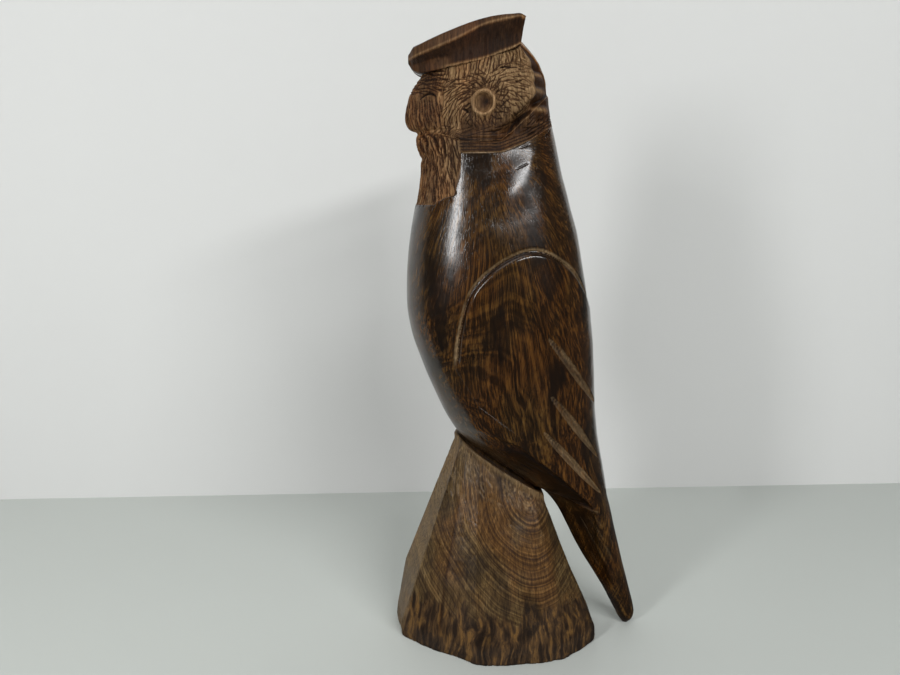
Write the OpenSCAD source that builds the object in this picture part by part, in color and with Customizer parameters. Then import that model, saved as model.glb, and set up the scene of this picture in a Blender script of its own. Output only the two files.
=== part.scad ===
// Carved wooden owl perched on a faceted stump.
// The carving is cut from one block, so every node is one region of the same wood and the
// nodes meet face to face along the carved lines.
// The owl looks along -Y, its left side is +X, and it stands on z = 0.

/* [Figure] */
// Height from the table to the ear tufts
total_height = 309.5; // [250:0.5:400]
// How far the wings stand proud of the flanks
wing_relief = 1.2; // [0.6:0.1:2]
// Depth of the wing panels below the flanks
wing_depth = 7; // [5:0.5:9]

/* [Head] */
// Outer diameter of the carved ring round each eye
eye_ring_d = 11.4; // [9:0.1:13]
// Diameter of the sunken disc inside the ring
eye_disc_d = 8.4; // [6:0.1:8.6]
// How far the ring stands proud of the cheek
eye_ring_rise = 0.7; // [0.3:0.1:1.5]
// How far the disc lies below the ring
eye_disc_drop = 1.0; // [0.5:0.1:2]

/* [Feather cuts] */
// Width of each feather gouge at its middle
gouge_w = 3.4; // [2:0.1:5]
// Depth of each feather gouge at its middle
gouge_depth = 1.5; // [0.5:0.1:2.5]

/* [Stump] */
// Height of the rounded band round the foot
foot_band_h = 9; // [6:0.5:14]
// Height at which the long facets change slope
facet_break_h = 36; // [30:1:50]

/* [Hidden] */
design_height = 309.5; // the tables below are drawn at this height
figure_scale = total_height / design_height;
sides = 44; // corners round each horizontal slice
eps = 0.01;
reach = 90; // longer than any half width or depth of the figure
wing_gap = 10; // strip of back left between the wings
wing_from_z = 70; // below the lowest point of the wings

// Slices of the bird, from the tail tip to the neck:
// [z, front y, back y, y of the widest place, half width, front roundness, back roundness].
// A roundness of 2 is an ellipse and one near 1 is a straight-sided wedge.
BIRD = [
    [0, 59.8, 63.3, 61.5, 2.0, 2.0, 2.0],
    [3, 57.8, 65.4, 61.8, 4.2, 2.0, 2.0],
    [8, 55.0, 65.8, 61.0, 5.4, 1.7, 2.0],
    [27, 44.2, 61.0, 54.0, 8.0, 1.4, 2.0],
    [45, 33.3, 56.0, 47.0, 10.5, 1.3, 2.0],
    [60, 25.0, 52.0, 43.0, 13.5, 1.3, 2.0],
    [70, 19.3, 49.5, 40.0, 16.0, 1.35, 2.0],
    [78, 12.0, 47.2, 36.0, 19.0, 1.4, 2.0],
    [85, 0.8, 45.2, 30.0, 22.5, 1.45, 2.0],
    [93, -10.5, 43.2, 22.0, 25.5, 1.5, 2.0],
    [102, -22.0, 41.0, 12.0, 28.5, 1.55, 2.0],
    [112, -31.0, 38.8, 1.0, 31.0, 1.65, 2.1],
    [127, -39.2, 36.4, -3.0, 33.5, 1.9, 2.2],
    [150, -49.6, 34.4, -6.0, 36.5, 2.2, 2.3],
    [170, -56.2, 32.0, -8.0, 38.0, 2.3, 2.3],
    [190, -57.4, 29.2, -10.0, 38.0, 2.3, 2.3],
    [215, -55.1, 23.8, -12.0, 35.0, 2.3, 2.3],
    [240, -51.2, 17.0, -14.0, 29.5, 2.2, 2.3],
    [249, -50.6, 14.8, -15.0, 27.6, 2.2, 2.25],
    [256, -52.4, 13.2, -16.0, 26.5, 2.2, 2.2],
    [262, -52.6, 11.8, -16.0, 26.0, 2.0, 2.2],
];

// Slices of the head, from the chin to the top of the skull, in the same columns
HEAD = [
    [258, -52.4, 12.4, -14.0, 24.5, 1.8, 2.2],
    [261, -51.8, 11.6, -13.0, 26.0, 1.5, 2.2],
    [263.5, -55.8, 11.0, -12.0, 26.8, 1.35, 2.2],
    [268, -57.4, 10.3, -11.0, 27.2, 1.35, 2.2],
    [275, -56.3, 9.7, -11.0, 27.0, 1.35, 2.2],
    [281, -54.2, 9.1, -12.0, 26.0, 1.35, 2.2],
    [287, -50.0, 7.5, -14.0, 23.4, 1.4, 2.2],
    [293, -46.0, 4.7, -16.0, 20.2, 1.6, 2.1],
    [299, -41.0, 0.2, -18.0, 16.0, 1.8, 2.0],
    [304, -36.0, -5.0, -19.0, 11.5, 2.0, 2.0],
    [308, -30.0, -12.0, -20.5, 5.0, 2.0, 2.0],
];

// Upright slices of the brow plate, from above the beak to the ear tufts:
// [y, rim x, crown z, rim top z, rim bottom z, underside x, underside z, crown edge x].
BROW = [
    [-55.6, 3.0, 298.0, 296.5, 294.0, 2.2, 292.5, 0.7],
    [-53.5, 6.5, 299.8, 297.8, 294.0, 4.0, 289.5, 1.8],
    [-50, 10.2, 301.2, 299.0, 294.8, 6.8, 287.8, 4.0],
    [-43, 14.8, 304.2, 301.2, 296.6, 11.3, 288.0, 8.6],
    [-32, 19.6, 308.0, 304.6, 300.2, 17.8, 289.2, 13.0],
    [-22, 22.4, 309.3, 307.2, 304.4, 20.5, 290.8, 15.5],
    [-14, 23.0, 308.8, 308.5, 306.4, 21.0, 293.2, 16.0],
    [-8, 22.3, 306.5, 309.2, 307.6, 20.3, 295.0, 15.6],
    [-5.5, 21.6, 305.0, 309.4, 308.2, 19.8, 296.0, 15.2],
    [-2.8, 20.5, 303.8, 309.5, 308.6, 19.4, 297.4, 14.6],
];

// Corners of the stump, as [x, y] at the foot, [x, y] at the facet break, and [x, y] where
// the facets run out under the bird. They go round from the front left facet.
STUMP = [
    [[14, -59.5], [14, -51.5], [5.5, -29.5]],
    [[27, -43], [25, -39], [9.5, -26]],
    [[38, -23], [31.5, -23], [13, -21]],
    [[38.5, -8], [31.5, -8], [14.5, -13]],
    [[37, 8], [30, 6], [14, -4]],
    [[33, 22], [26.5, 18.5], [13, 5]],
    [[18.5, 41.6], [15, 29], [10, 11]],
    [[-14, 40], [-13, 28], [-9, 11]],
    [[-34, 14], [-28, 8], [-13, -2]],
    [[-38, -20], [-30, -18], [-13, -18]],
    [[-24, -54], [-19, -48], [-9, -31]],
    [[-6, -66], [-4, -60.5], [0, -32.5]],
];
perch_front = [-33, 111]; // front end of the slope that the bird sits on, as [y, z]
perch_back = [11, 81]; // back end of that slope

// Side outlines, as [y, z], of the regions that the carved lines divide
WING_ARC = [[-33, 152], [-31.5, 171], [-26, 190.5], [-12, 203.5], [3, 208], [18, 200.5],
    [27, 189], [36, 170]];
WING_FOOT = [[60, 165], [60, 84], [42, 79], [30, 92], [14, 108], [-4, 121], [-22, 134]];
NECK_GROOVE = [[-60, 255.6], [-32, 255.6], [-13, 256.7], [-8, 260.5], [0, 268], [9, 277],
    [30, 284]];
COLLAR_EDGE = [[30, 274], [12, 264], [0, 256.5], [-14, 251.2], [-27, 251.2], [-60, 250.5]];
BIB = [[-70, 262.3], [-50, 262.3], [-44, 261], [-32, 257], [-31, 249.5], [-31.5, 240.5],
    [-34.2, 232.3], [-38.7, 231.2], [-43.3, 228], [-52, 227.8], [-70, 227.8]];
BEAK = [[-70, 262.3], [-50, 262.3], [-44, 261], [-39.5, 264], [-38.5, 275], [-40.5, 284],
    [-49, 288], [-70, 288]];
TAIL = [[5, 86.5], [12, 84], [21, 80.5], [38.7, 73.8], [60, 66], [80, 60], [80, -5], [5, -5]];

// The feather gouges on a wing, as the two ends of each, [y, z]
GOUGES = [
    [[9, 168], [36.5, 131]],
    [[11.6, 139.8], [38.7, 103]],
    [[9, 121.5], [40, 85]],
];
gouge_steps = 8; // cuts along each gouge
eye_centre = [24.2, -21.2, 272.5];
eye_turn = -19; // the eyes look a little forward of straight sideways

function lean(rows, i, col) =
    let (a = max(i - 1, 0), b = min(i + 1, len(rows) - 1))
    (rows[b][col] - rows[a][col]) / (rows[b][0] - rows[a][0]);

// Smooth value of one column of a table at v, which runs along the first column
function along(rows, v, col) =
    let (
        i = max([for (k = [0:len(rows) - 2]) if (rows[k][0] <= v || k == 0) k]),
        h = rows[i + 1][0] - rows[i][0],
        t = (v - rows[i][0]) / h
    )
    (2 * pow(t, 3) - 3 * t * t + 1) * rows[i][col]
    + (pow(t, 3) - 2 * t * t + t) * h * lean(rows, i, col)
    + (3 * t * t - 2 * pow(t, 3)) * rows[i + 1][col]
    + (pow(t, 3) - t * t) * h * lean(rows, i + 1, col);

function curved(v, roundness) = sign(v) * pow(abs(v), 2 / roundness);

// Half width of the bird at a side-view point, grown outwards by an amount
function flank_x(y, z, grow) =
    let (
        wide = along(BIRD, z, 3),
        span = y > wide ? along(BIRD, z, 2) + grow - wide : wide - along(BIRD, z, 1) + grow,
        n = along(BIRD, z, y > wide ? 6 : 5)
    )
    (along(BIRD, z, 4) + grow) * pow(max(1 - pow(abs(y - wide) / span, n), 0), 1 / n);

// One horizontal slice of the bird or head, grown outwards by an amount
function slice(rows, z, grow) =
    let (
        front = along(rows, z, 1) - grow,
        back = along(rows, z, 2) + grow,
        wide = along(rows, z, 3),
        half = along(rows, z, 4) + grow
    )
    [for (k = [0:sides - 1])
        let (
            c = cos(360 * k / sides),
            s = sin(360 * k / sides),
            n = along(rows, z, c > 0 ? 5 : 6)
        )
        [half * curved(s, n), wide - (c > 0 ? wide - front : back - wide) * curved(c, n), z]];

// Half of the polished crown in one upright slice, from the middle to the crown's edge
function crown_top(y) =
    let (
        edge_x = along(BROW, y, 7),
        top = along(BROW, y, 2),
        drop = (top - along(BROW, y, 3)) * edge_x / along(BROW, y, 1)
    )
    [[0, y, top], [edge_x / 2, y, top - 0.3 * drop], [edge_x, y, top - drop - 0.6]];

// The rim of one brow, its undercut and the outer end of the flat underside
function brow_side(y) =
    let (
        rim = along(BROW, y, 1),
        low = along(BROW, y, 4),
        in_x = along(BROW, y, 5),
        in_z = along(BROW, y, 6)
    )
    [
        [rim, y, along(BROW, y, 3)],
        [rim + 0.3, y, low],
        [(rim + in_x) / 2 - 0.8, y, (low + in_z) / 2],
        [in_x, y, in_z],
    ];

// The middle and the crown's edge on the flat underside
function under_side(y) =
    let (in_z = along(BROW, y, 6))
    [[0, y, in_z], [along(BROW, y, 7), y, in_z]];

function mirrored(points) =
    [for (i = [len(points) - 1:-1:0]) if (points[i][0] > 0) [-points[i][0], points[i][1], points[i][2]]];

function crown_slice(y) =
    let (half = concat(crown_top(y), [under_side(y)[1], under_side(y)[0]]))
    concat(half, mirrored(half));

function tuft_slice(y, side) =
    let (half = concat([crown_top(y)[2]], brow_side(y), [under_side(y)[1]]))
    side > 0 ? half : mirrored(half);

function brow_slice(y) =
    let (half = concat(crown_top(y), brow_side(y), [under_side(y)[0]]))
    concat(half, mirrored(half));

// A smooth open curve through side-view points
function smooth_path(points, steps) =
    let (
        last = len(points) - 1,
        rows = [for (i = [0:last]) [i, points[i][0], points[i][1]]]
    )
    [for (k = [0:last * steps]) [along(rows, k / steps, 1), along(rows, k / steps, 2)]];

// Closes a stack of flat rings of equal length into one solid
module skin(rings) {
    n = len(rings[0]);
    m = len(rings);
    points = [for (r = rings, p = r) p];
    walls = [for (i = [0:m - 2], j = [0:n - 1], half = [0, 1])
        let (a = i * n + j, b = i * n + (j + 1) % n)
        half == 0 ? [a, b + n, b] : [a, a + n, b + n]];
    first_cap = [for (j = [0:n - 1]) j];
    last_cap = [for (j = [n - 1:-1:0]) (m - 1) * n + j];
    polyhedron(points = points, faces = concat(walls, [first_cap, last_cap]), convexity = 6);
}

// The part of a solid across the figure that lies inside a side outline
module side_prism(outline, x_from = -reach, x_to = reach) {
    translate([x_from, 0, 0])
        rotate([90, 0, 90])
            linear_extrude(height = x_to - x_from)
                polygon(outline);
}

module bird_form(grow = 0, z_from = 0) {
    steps = concat([0, 1, 2, 3.5, 5.5, 8], [for (z = [13:5:68]) z],
        [for (z = [72:3.5:114]) z], [for (z = [118:6:262]) z]);
    skin([for (z = steps) if (z >= z_from) slice(BIRD, z, grow)]);
}

module head_form() {
    steps = concat([258, 259.5, 261, 262.2, 263.5], [for (z = [265.5:2.5:308]) z]);
    skin([for (z = steps) slice(HEAD, z, 0)]);
}

module figure_core() {
    bird_form();
    head_form();
}

brow_steps = concat([-55.6, -54.6, -53.5, -51.8, -50], [for (y = [-46.5:3:-10.5]) y], [-8, -5.5, -2.8]);

module brow_form() {
    skin([for (y = brow_steps) brow_slice(y)]);
}

function perch_z(y) = perch_front[1]
    + (y - perch_front[0]) * (perch_back[1] - perch_front[1]) / (perch_back[0] - perch_front[0]);

module stump_form() {
    skin([
        [for (c = STUMP) [c[0][0], c[0][1], 0]],
        [for (c = STUMP) [c[0][0] * 0.99, c[0][1] * 0.99, foot_band_h]],
        [for (c = STUMP) [c[1][0], c[1][1], facet_break_h]],
        [for (c = STUMP) [c[2][0], c[2][1], perch_z(c[2][1])]],
    ]);
}

// The space of one wing panel: the wing's outline, down to the panel's depth
module wing_zone(side) {
    outline = concat(smooth_path(WING_ARC, 4), WING_FOOT);
    difference() {
        if (side > 0) side_prism(outline, wing_gap / 2, reach);
        else side_prism(outline, -reach, -wing_gap / 2);
        bird_form(-wing_depth, wing_from_z);
    }
}

module neck_zone() {
    side_prism(concat(NECK_GROOVE, COLLAR_EDGE));
}

module head_zone() {
    side_prism(concat(NECK_GROOVE, [[30, 330], [-60, 330]]));
}

// A round plug along the line of sight of one eye, from a depth inside to a rise outside
module eye_plug(side, d, depth, rise) {
    translate([side * eye_centre[0], eye_centre[1], eye_centre[2]])
        rotate([0, 0, side > 0 ? eye_turn : 180 - eye_turn])
            rotate([0, 90, 0])
                translate([0, 0, -depth])
                    cylinder(h = depth + rise, d = d, $fn = 40);
}

// One bead of a gouge: a ball that bites into the wing, deepest and widest in the middle
module gouge_bead(ends, t) {
    y = ends[0][0] * (1 - t) + ends[1][0] * t;
    z = ends[0][1] * (1 - t) + ends[1][1] * t;
    slope = flank_x(y + 0.5, z, wing_relief) - flank_x(y - 0.5, z, wing_relief);
    outward = [1, -slope, 0] / norm([1, slope]);
    swell = 0.25 + 0.75 * sin(180 * t);
    lift = gouge_w / 2 * swell - gouge_depth * swell;
    translate([flank_x(y, z, wing_relief), y, z] + outward * lift)
        sphere(d = gouge_w * swell, $fn = 16);
}

module gouge(ends) {
    for (k = [0:gouge_steps - 1])
        hull() {
            gouge_bead(ends, k / gouge_steps);
            gouge_bead(ends, (k + 1) / gouge_steps);
        }
}

// Turns a carved region into one closed mesh at the chosen height
module region() {
    resize([0, 0, 0])
        scale(figure_scale)
            children();
}

module stump_base() {
    color("saddlebrown")
        region()
            difference() {
                stump_form();
                bird_form();
            }
}

module torso() {
    color("#4a2c18")
        region()
            difference() {
                bird_form();
                head_zone();
                neck_zone();
                side_prism(BIB);
                side_prism(TAIL);
                for (side = [-1, 1]) wing_zone(side);
            }
}

module tail() {
    color("#553520")
        region()
            intersection() {
                bird_form();
                side_prism(TAIL);
            }
}

module wing(side) {
    color("#5d3a20")
        region()
            difference() {
                intersection() {
                    bird_form(wing_relief);
                    wing_zone(side);
                }
                mirror([side > 0 ? 0 : 1, 0, 0])
                    for (ends = GOUGES) gouge(ends);
            }
}

module neck_band() {
    color("#6b4a2c")
        region()
            difference() {
                intersection() {
                    figure_core();
                    neck_zone();
                }
                side_prism(BIB);
            }
}

module chest_bib() {
    color("#7a5a38")
        region()
            intersection() {
                figure_core();
                side_prism(BIB);
            }
}

module head() {
    color("#66452a")
        region()
            difference() {
                intersection() {
                    figure_core();
                    head_zone();
                }
                side_prism(BIB);
                side_prism(BEAK);
                brow_form();
                for (side = [-1, 1]) eye_plug(side, eye_ring_d, 5, 5);
            }
}

module beak() {
    color("#5a3c24")
        region()
            difference() {
                intersection() {
                    figure_core();
                    side_prism(BEAK);
                }
                side_prism(BIB);
                brow_form();
            }
}

module crown() {
    color("#4f3019")
        region()
            skin([for (y = brow_steps) crown_slice(y)]);
}

module brow_tuft(side) {
    color("#5f4226")
        region()
            skin([for (y = brow_steps) tuft_slice(y, side)]);
}

module eye_ring(side) {
    color("#8a6a44")
        scale(figure_scale)
            difference() {
                eye_plug(side, eye_ring_d, 5, eye_ring_rise);
                eye_plug(side, eye_disc_d, 5 + eps, eye_ring_rise + eps);
            }
}

module eye(side) {
    color("#3b2412")
        scale(figure_scale)
            eye_plug(side, eye_disc_d, 5, eye_ring_rise - eye_disc_drop);
}

stump_base();
torso();
tail();
wing(1);  // left_wing
wing(-1);  // right_wing
neck_band();
chest_bib();
head();
beak();
crown();
brow_tuft(1);  // left_brow_tuft
brow_tuft(-1);  // right_brow_tuft
eye_ring(1);  // left_eye_ring
eye_ring(-1);  // right_eye_ring
eye(1);  // left_eye
eye(-1);  // right_eye
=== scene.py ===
"""Carved wooden owl on a faceted stump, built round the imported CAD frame.

Lengths in the tables are millimetres in the model's frame: the owl looks along -Y, its left
side is +X, and it stands on z = 0. MM turns them into Blender's metres.
The owl is one block of wood, so it is made as one carved skin, which is then parted along the
same lines as the CAD nodes. The pieces meet face to face.
"""
import math

import bpy
import numpy as np
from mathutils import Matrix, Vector


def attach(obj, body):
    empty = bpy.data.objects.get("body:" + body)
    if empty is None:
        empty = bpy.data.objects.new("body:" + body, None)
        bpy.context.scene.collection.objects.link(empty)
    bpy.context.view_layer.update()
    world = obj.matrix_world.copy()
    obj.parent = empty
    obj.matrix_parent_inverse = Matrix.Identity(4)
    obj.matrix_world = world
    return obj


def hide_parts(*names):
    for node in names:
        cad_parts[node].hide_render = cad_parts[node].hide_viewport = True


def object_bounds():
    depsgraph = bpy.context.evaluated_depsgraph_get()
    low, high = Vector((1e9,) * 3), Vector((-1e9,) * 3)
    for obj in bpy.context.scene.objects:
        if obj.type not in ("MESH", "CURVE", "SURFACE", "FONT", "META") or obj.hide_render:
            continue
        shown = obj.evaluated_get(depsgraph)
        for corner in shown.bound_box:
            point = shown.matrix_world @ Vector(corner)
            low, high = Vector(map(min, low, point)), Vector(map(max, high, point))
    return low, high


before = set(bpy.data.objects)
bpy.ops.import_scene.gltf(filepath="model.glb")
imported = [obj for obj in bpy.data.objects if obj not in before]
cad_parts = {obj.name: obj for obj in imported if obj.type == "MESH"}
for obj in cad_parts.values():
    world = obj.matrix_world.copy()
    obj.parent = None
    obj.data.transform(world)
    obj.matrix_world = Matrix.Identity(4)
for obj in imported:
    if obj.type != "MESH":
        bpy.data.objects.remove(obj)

cad_low, cad_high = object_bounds()
DESIGN_HEIGHT = 309.5
MM = (cad_high.z - cad_low.z) / DESIGN_HEIGHT

SIDE_COLUMNS = (165, 112)  # points from the front to the widest place, and from there to the back
WING_DEPTH = 7.0  # how far a wing panel reaches into the body
WING_RELIEF = 0.96  # how far it stands out
WING_GAP = 5.0  # from the middle plane to each panel
EYE_CENTRE = np.array([24.2, -21.2, 272.5])
EYE_TURN = -19.0  # degrees from straight out to the side
EYE_RING_R = 5.7
EYE_DISC_R = 4.2
EYE_DEPTH = 5.0  # how far the ring and the disc reach into the head
REACH = 90.0  # half width of the blocks that part the figure
OUT_OF_REACH = 999.0  # the distance given to points that a path doesn't touch

# Slices of the bird: z, front y, back y, widest y, half width, front and back roundness
BIRD = np.array([
    [0, 59.8, 63.3, 61.5, 2.0, 2.0, 2.0],
    [3, 57.8, 65.4, 61.8, 4.2, 2.0, 2.0],
    [8, 55.0, 65.8, 61.0, 5.4, 1.7, 2.0],
    [27, 44.2, 61.0, 54.0, 8.0, 1.4, 2.0],
    [45, 33.3, 56.0, 47.0, 10.5, 1.3, 2.0],
    [60, 25.0, 52.0, 43.0, 13.5, 1.3, 2.0],
    [70, 19.3, 49.5, 40.0, 16.0, 1.35, 2.0],
    [78, 12.0, 47.2, 36.0, 19.0, 1.4, 2.0],
    [85, 0.8, 46.0, 30.0, 22.5, 1.45, 2.0],
    [93, -10.7, 44.2, 22.0, 25.5, 1.5, 2.0],
    [102, -22.8, 42.3, 12.0, 28.5, 1.55, 2.0],
    [112, -32.0, 40.4, 1.0, 31.0, 1.65, 2.1],
    [127, -40.6, 38.6, -3.0, 33.5, 1.9, 2.2],
    [150, -50.3, 36.2, -6.0, 36.5, 2.2, 2.3],
    [170, -56.3, 33.2, -8.0, 38.0, 2.3, 2.3],
    [190, -57.4, 30.4, -10.0, 38.0, 2.3, 2.3],
    [215, -55.1, 25.5, -12.0, 35.0, 2.3, 2.3],
    [240, -51.2, 18.4, -14.0, 29.5, 2.2, 2.3],
    [249, -50.6, 16.1, -15.0, 27.6, 2.2, 2.25],
    [256, -52.4, 14.5, -16.0, 26.5, 2.2, 2.2],
    [262, -52.6, 13.0, -16.0, 26.0, 2.0, 2.2],
])
# Slices of the head, in the same columns
HEAD = np.array([
    [258, -52.4, 14.0, -14.0, 24.5, 1.8, 2.2],
    [261, -51.8, 13.2, -13.0, 26.0, 1.5, 2.2],
    [263.5, -55.8, 12.5, -12.0, 26.8, 1.35, 2.2],
    [268, -57.4, 11.4, -11.0, 27.2, 1.35, 2.2],
    [275, -56.3, 10.2, -11.0, 27.0, 1.35, 2.2],
    [281, -54.2, 9.1, -12.0, 26.0, 1.35, 2.2],
    [287, -50.0, 7.5, -14.0, 23.4, 1.4, 2.2],
    [293, -46.0, 4.7, -16.0, 20.2, 1.6, 2.1],
    [299, -41.0, 0.2, -18.0, 16.0, 1.8, 2.0],
    [304, -36.0, -5.0, -19.0, 11.5, 2.0, 2.0],
    [308, -30.0, -12.0, -20.5, 5.0, 2.0, 2.0],
])
NECK_BLEND = (258.0, 262.0)  # heights between which the bird's slices turn into the head's
# Upright slices of the brow plate: y, rim x, crown z, rim top z, rim bottom z, underside x,
# underside z, crown edge x
BROW = np.array([
    [-55.6, 3.0, 298.0, 296.5, 294.0, 2.2, 292.5, 0.7],
    [-53.5, 6.5, 299.8, 297.8, 294.0, 4.0, 289.5, 1.8],
    [-50, 10.2, 301.2, 299.0, 294.8, 6.8, 287.8, 4.0],
    [-43, 14.8, 304.2, 301.2, 296.6, 11.3, 288.0, 8.6],
    [-32, 19.6, 308.0, 304.6, 300.2, 17.8, 289.2, 13.0],
    [-22, 22.4, 309.3, 307.2, 304.4, 20.5, 290.8, 15.5],
    [-14, 23.0, 308.8, 308.5, 306.4, 21.0, 293.2, 16.0],
    [-8, 22.3, 306.5, 309.2, 307.6, 20.3, 295.0, 15.6],
    [-5.5, 21.6, 305.0, 309.5, 308.2, 19.8, 296.0, 15.2],
    [-2.8, 20.5, 303.8, 308.6, 307.6, 19.4, 297.4, 14.6],
])
# Corners of the stump: at the foot, at the facet break, and where the facets end under the bird
STUMP = np.array([
    [[14, -62.3], [14, -53.2], [5.5, -29.5]],
    [[27, -43], [25, -39], [9.5, -26]],
    [[38, -23], [31.5, -23], [13, -21]],
    [[38.5, -8], [31.5, -8], [14.5, -13]],
    [[37, 8], [30, 6], [14, -4]],
    [[33, 22], [26.5, 18.5], [13, 5]],
    [[18.5, 41.6], [15, 29], [10, 11]],
    [[-14, 40], [-13, 28], [-9, 11]],
    [[-34, 14], [-28, 8], [-13, -2]],
    [[-38, -20], [-30, -18], [-13, -18]],
    [[-24, -54], [-19, -48], [-9, -31]],
    [[-6, -66], [-4, -60.5], [0, -32.5]],
], float)
FOOT_BAND_Z = 9.0
FACET_BREAK_Z = 36.0
PERCH_FRONT = (-33.0, 111.0)
PERCH_BACK = (11.0, 81.0)

# Side outlines (y, z) of the regions, as in the CAD
WING_ARC = [[-33, 152], [-31.5, 171], [-26, 190.5], [-12, 203.5], [3, 208], [18, 200.5],
            [27, 189], [36, 170]]
WING_FOOT = [[60, 165], [60, 84], [42, 79], [30, 92], [14, 108], [-4, 121], [-22, 134]]
NECK_GROOVE = [[-60, 255.6], [-32, 255.6], [-13, 256.7], [-8, 260.5], [0, 268], [9, 277],
               [30, 284]]
COLLAR_EDGE = [[30, 274], [12, 264], [0, 256.5], [-14, 251.2], [-27, 251.2], [-60, 250.5]]
BIB = [[-70, 262.3], [-50, 262.3], [-44, 261], [-32, 257], [-31, 249.5], [-31.5, 240.5],
       [-34.2, 232.3], [-38.7, 231.2], [-43.3, 228], [-52, 227.8], [-70, 227.8]]
BEAK = [[-70, 262.3], [-50, 262.3], [-44, 261], [-39.5, 264], [-38.5, 275], [-40.5, 284],
        [-49, 288], [-70, 288]]
TAIL = [[5, 86.5], [12, 84], [21, 80.5], [38.7, 73.8], [60, 66], [80, 60], [80, -5], [5, -5]]
# Feather gouges, as side-view paths (y, z)
GOUGES = [
    [[9, 168], [17, 158.5], [27.5, 144], [36.5, 131]],
    [[11.6, 139.8], [20, 129], [30, 115.5], [38.7, 103]],
    [[9, 121.5], [18, 111], [30, 97], [40, 85]],
]
# Lines that the carving follows (y, z): the channel, the scribed lines and the brow's underside
CHANNEL = [[-52, 259.6], [-44, 259.8], [-37, 258.3], [-30, 256.9], [-22, 256.2], [-13, 257.1],
           [-8, 260.9], [0, 268.6], [9, 277.8], [13, 283]]
SCRIBED = [[-32, 251.0], [-27, 251.0], [-14, 251.2], [-6, 254.0], [0, 257.2], [7, 261.4], [12, 265.5]]
BROW_FOOT = [[-48.4, 287.5], [-40.1, 288.3], [-31.1, 289.1], [-23.7, 290.7], [-17.6, 292.8], [-5.1, 296.4]]
# Steeper lines, with the height first (z, y): the bib, its strokes, the face's rim, the ridge
BIB_EDGE = [[227.8, -44.5], [231.2, -38.7], [232.3, -34.2], [240.5, -31.5], [249.5, -31], [257, -32],
            [262, -36]]
BIB_STROKES = [[227.8, -45.5], [231.2, -39.5], [232.3, -35], [240.5, -32.3], [249.5, -31.8], [257, -33],
               [262, -37]]
FACE_RIM = [[258, -6], [264, -1.5], [271, -0.3], [277, 2.1], [288, 0.9], [292, -0.4], [299, -5]]
RIDGE = [[76, 38.5], [86, 29.5], [97, 18.6], [107, 7.6], [115, -2.9], [119, -12.9], [123, -22]]

# The stage: the table, and a wall that stands a little askew behind the owl
FLOOR_Z = -0.05
FAR = 2600.0
WALL_X = -168.6
WALL_TURN = 0.042
WALL_SPLIT_Y = 200.0
TABLE_SPLIT_Y = -30.0


# ---------------------------------------------------------------- tables, curves and noise

def along(rows, v, column):
    """Smooth value of a table's column at v, which runs along its first column."""
    keys = rows[:, 0]
    last = len(keys) - 1
    i = np.clip(np.searchsorted(keys, v, "right") - 1, 0, last - 1)

    def lean(k):
        a, b = np.maximum(k - 1, 0), np.minimum(k + 1, last)
        return (rows[b, column] - rows[a, column]) / (keys[b] - keys[a])

    h = keys[i + 1] - keys[i]
    t = (v - keys[i]) / h
    return ((2 * t**3 - 3 * t * t + 1) * rows[i, column]
            + (t**3 - 2 * t * t + t) * h * lean(i)
            + (3 * t * t - 2 * t**3) * rows[i + 1, column]
            + (t**3 - t * t) * h * lean(i + 1))


def smooth_path(points, steps):
    """A smooth open curve through points, with that many steps between neighbours."""
    points = np.array(points, float)
    rows = np.column_stack([np.arange(len(points)), points])
    t = np.linspace(0, len(points) - 1, (len(points) - 1) * steps + 1)
    return np.column_stack([along(rows, t, k) for k in range(1, rows.shape[1])])


def ease(v, low, high):
    """0 below low, 1 above high, smooth between."""
    t = np.clip((v - low) / (high - low), 0, 1)
    return t * t * (3 - 2 * t)


def line_value(line, v):
    """The second coordinate of a line of points at v along the first."""
    return np.interp(v, *np.transpose(line))


def hump(v, width):
    """1 at v = 0, falling off smoothly to either side."""
    return np.exp(-(v / width) ** 2)


def within(v, low, high):
    """Where v lies between two values."""
    return (v > low) & (v < high)


def distance(points, spot):
    """How far each point is from a spot."""
    return np.linalg.norm(points - spot, axis=-1)


def curved(v, roundness):
    """A sine or cosine bent towards the box or the diamond that the roundness asks for."""
    return np.sign(v) * np.abs(v) ** (2 / roundness)


def lattice(cell, seed):
    """A repeatable value from 0 to 1 for each whole-number cell."""
    cell = cell.astype(np.int64).astype(np.uint32)
    h = (cell[..., 0] * np.uint32(374761393) + cell[..., 1] * np.uint32(668265263)
         + cell[..., 2] * np.uint32(2246822519) + np.uint32(seed * 40503 + 977))
    h = (h ^ (h >> np.uint32(15))) * np.uint32(2246822519)
    h = (h ^ (h >> np.uint32(13))) * np.uint32(3266489917)
    return (h ^ (h >> np.uint32(16))) / 4294967295.0


def noise(points, size, seed, stretch=(1, 1, 1)):
    """Smooth noise from -1 to 1 with bumps of about the given size in mm."""
    p = points / (size * np.array(stretch, float))
    cell = np.floor(p)
    f = p - cell
    f = f * f * f * (f * (f * 6 - 15) + 10)
    total = 0
    for corner in np.ndindex(2, 2, 2):
        weight = np.prod(np.where(corner, f, 1 - f), axis=-1)
        total = total + weight * lattice(cell + corner, seed)
    return total * 2 - 1


# ---------------------------------------------------------------- skins

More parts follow.
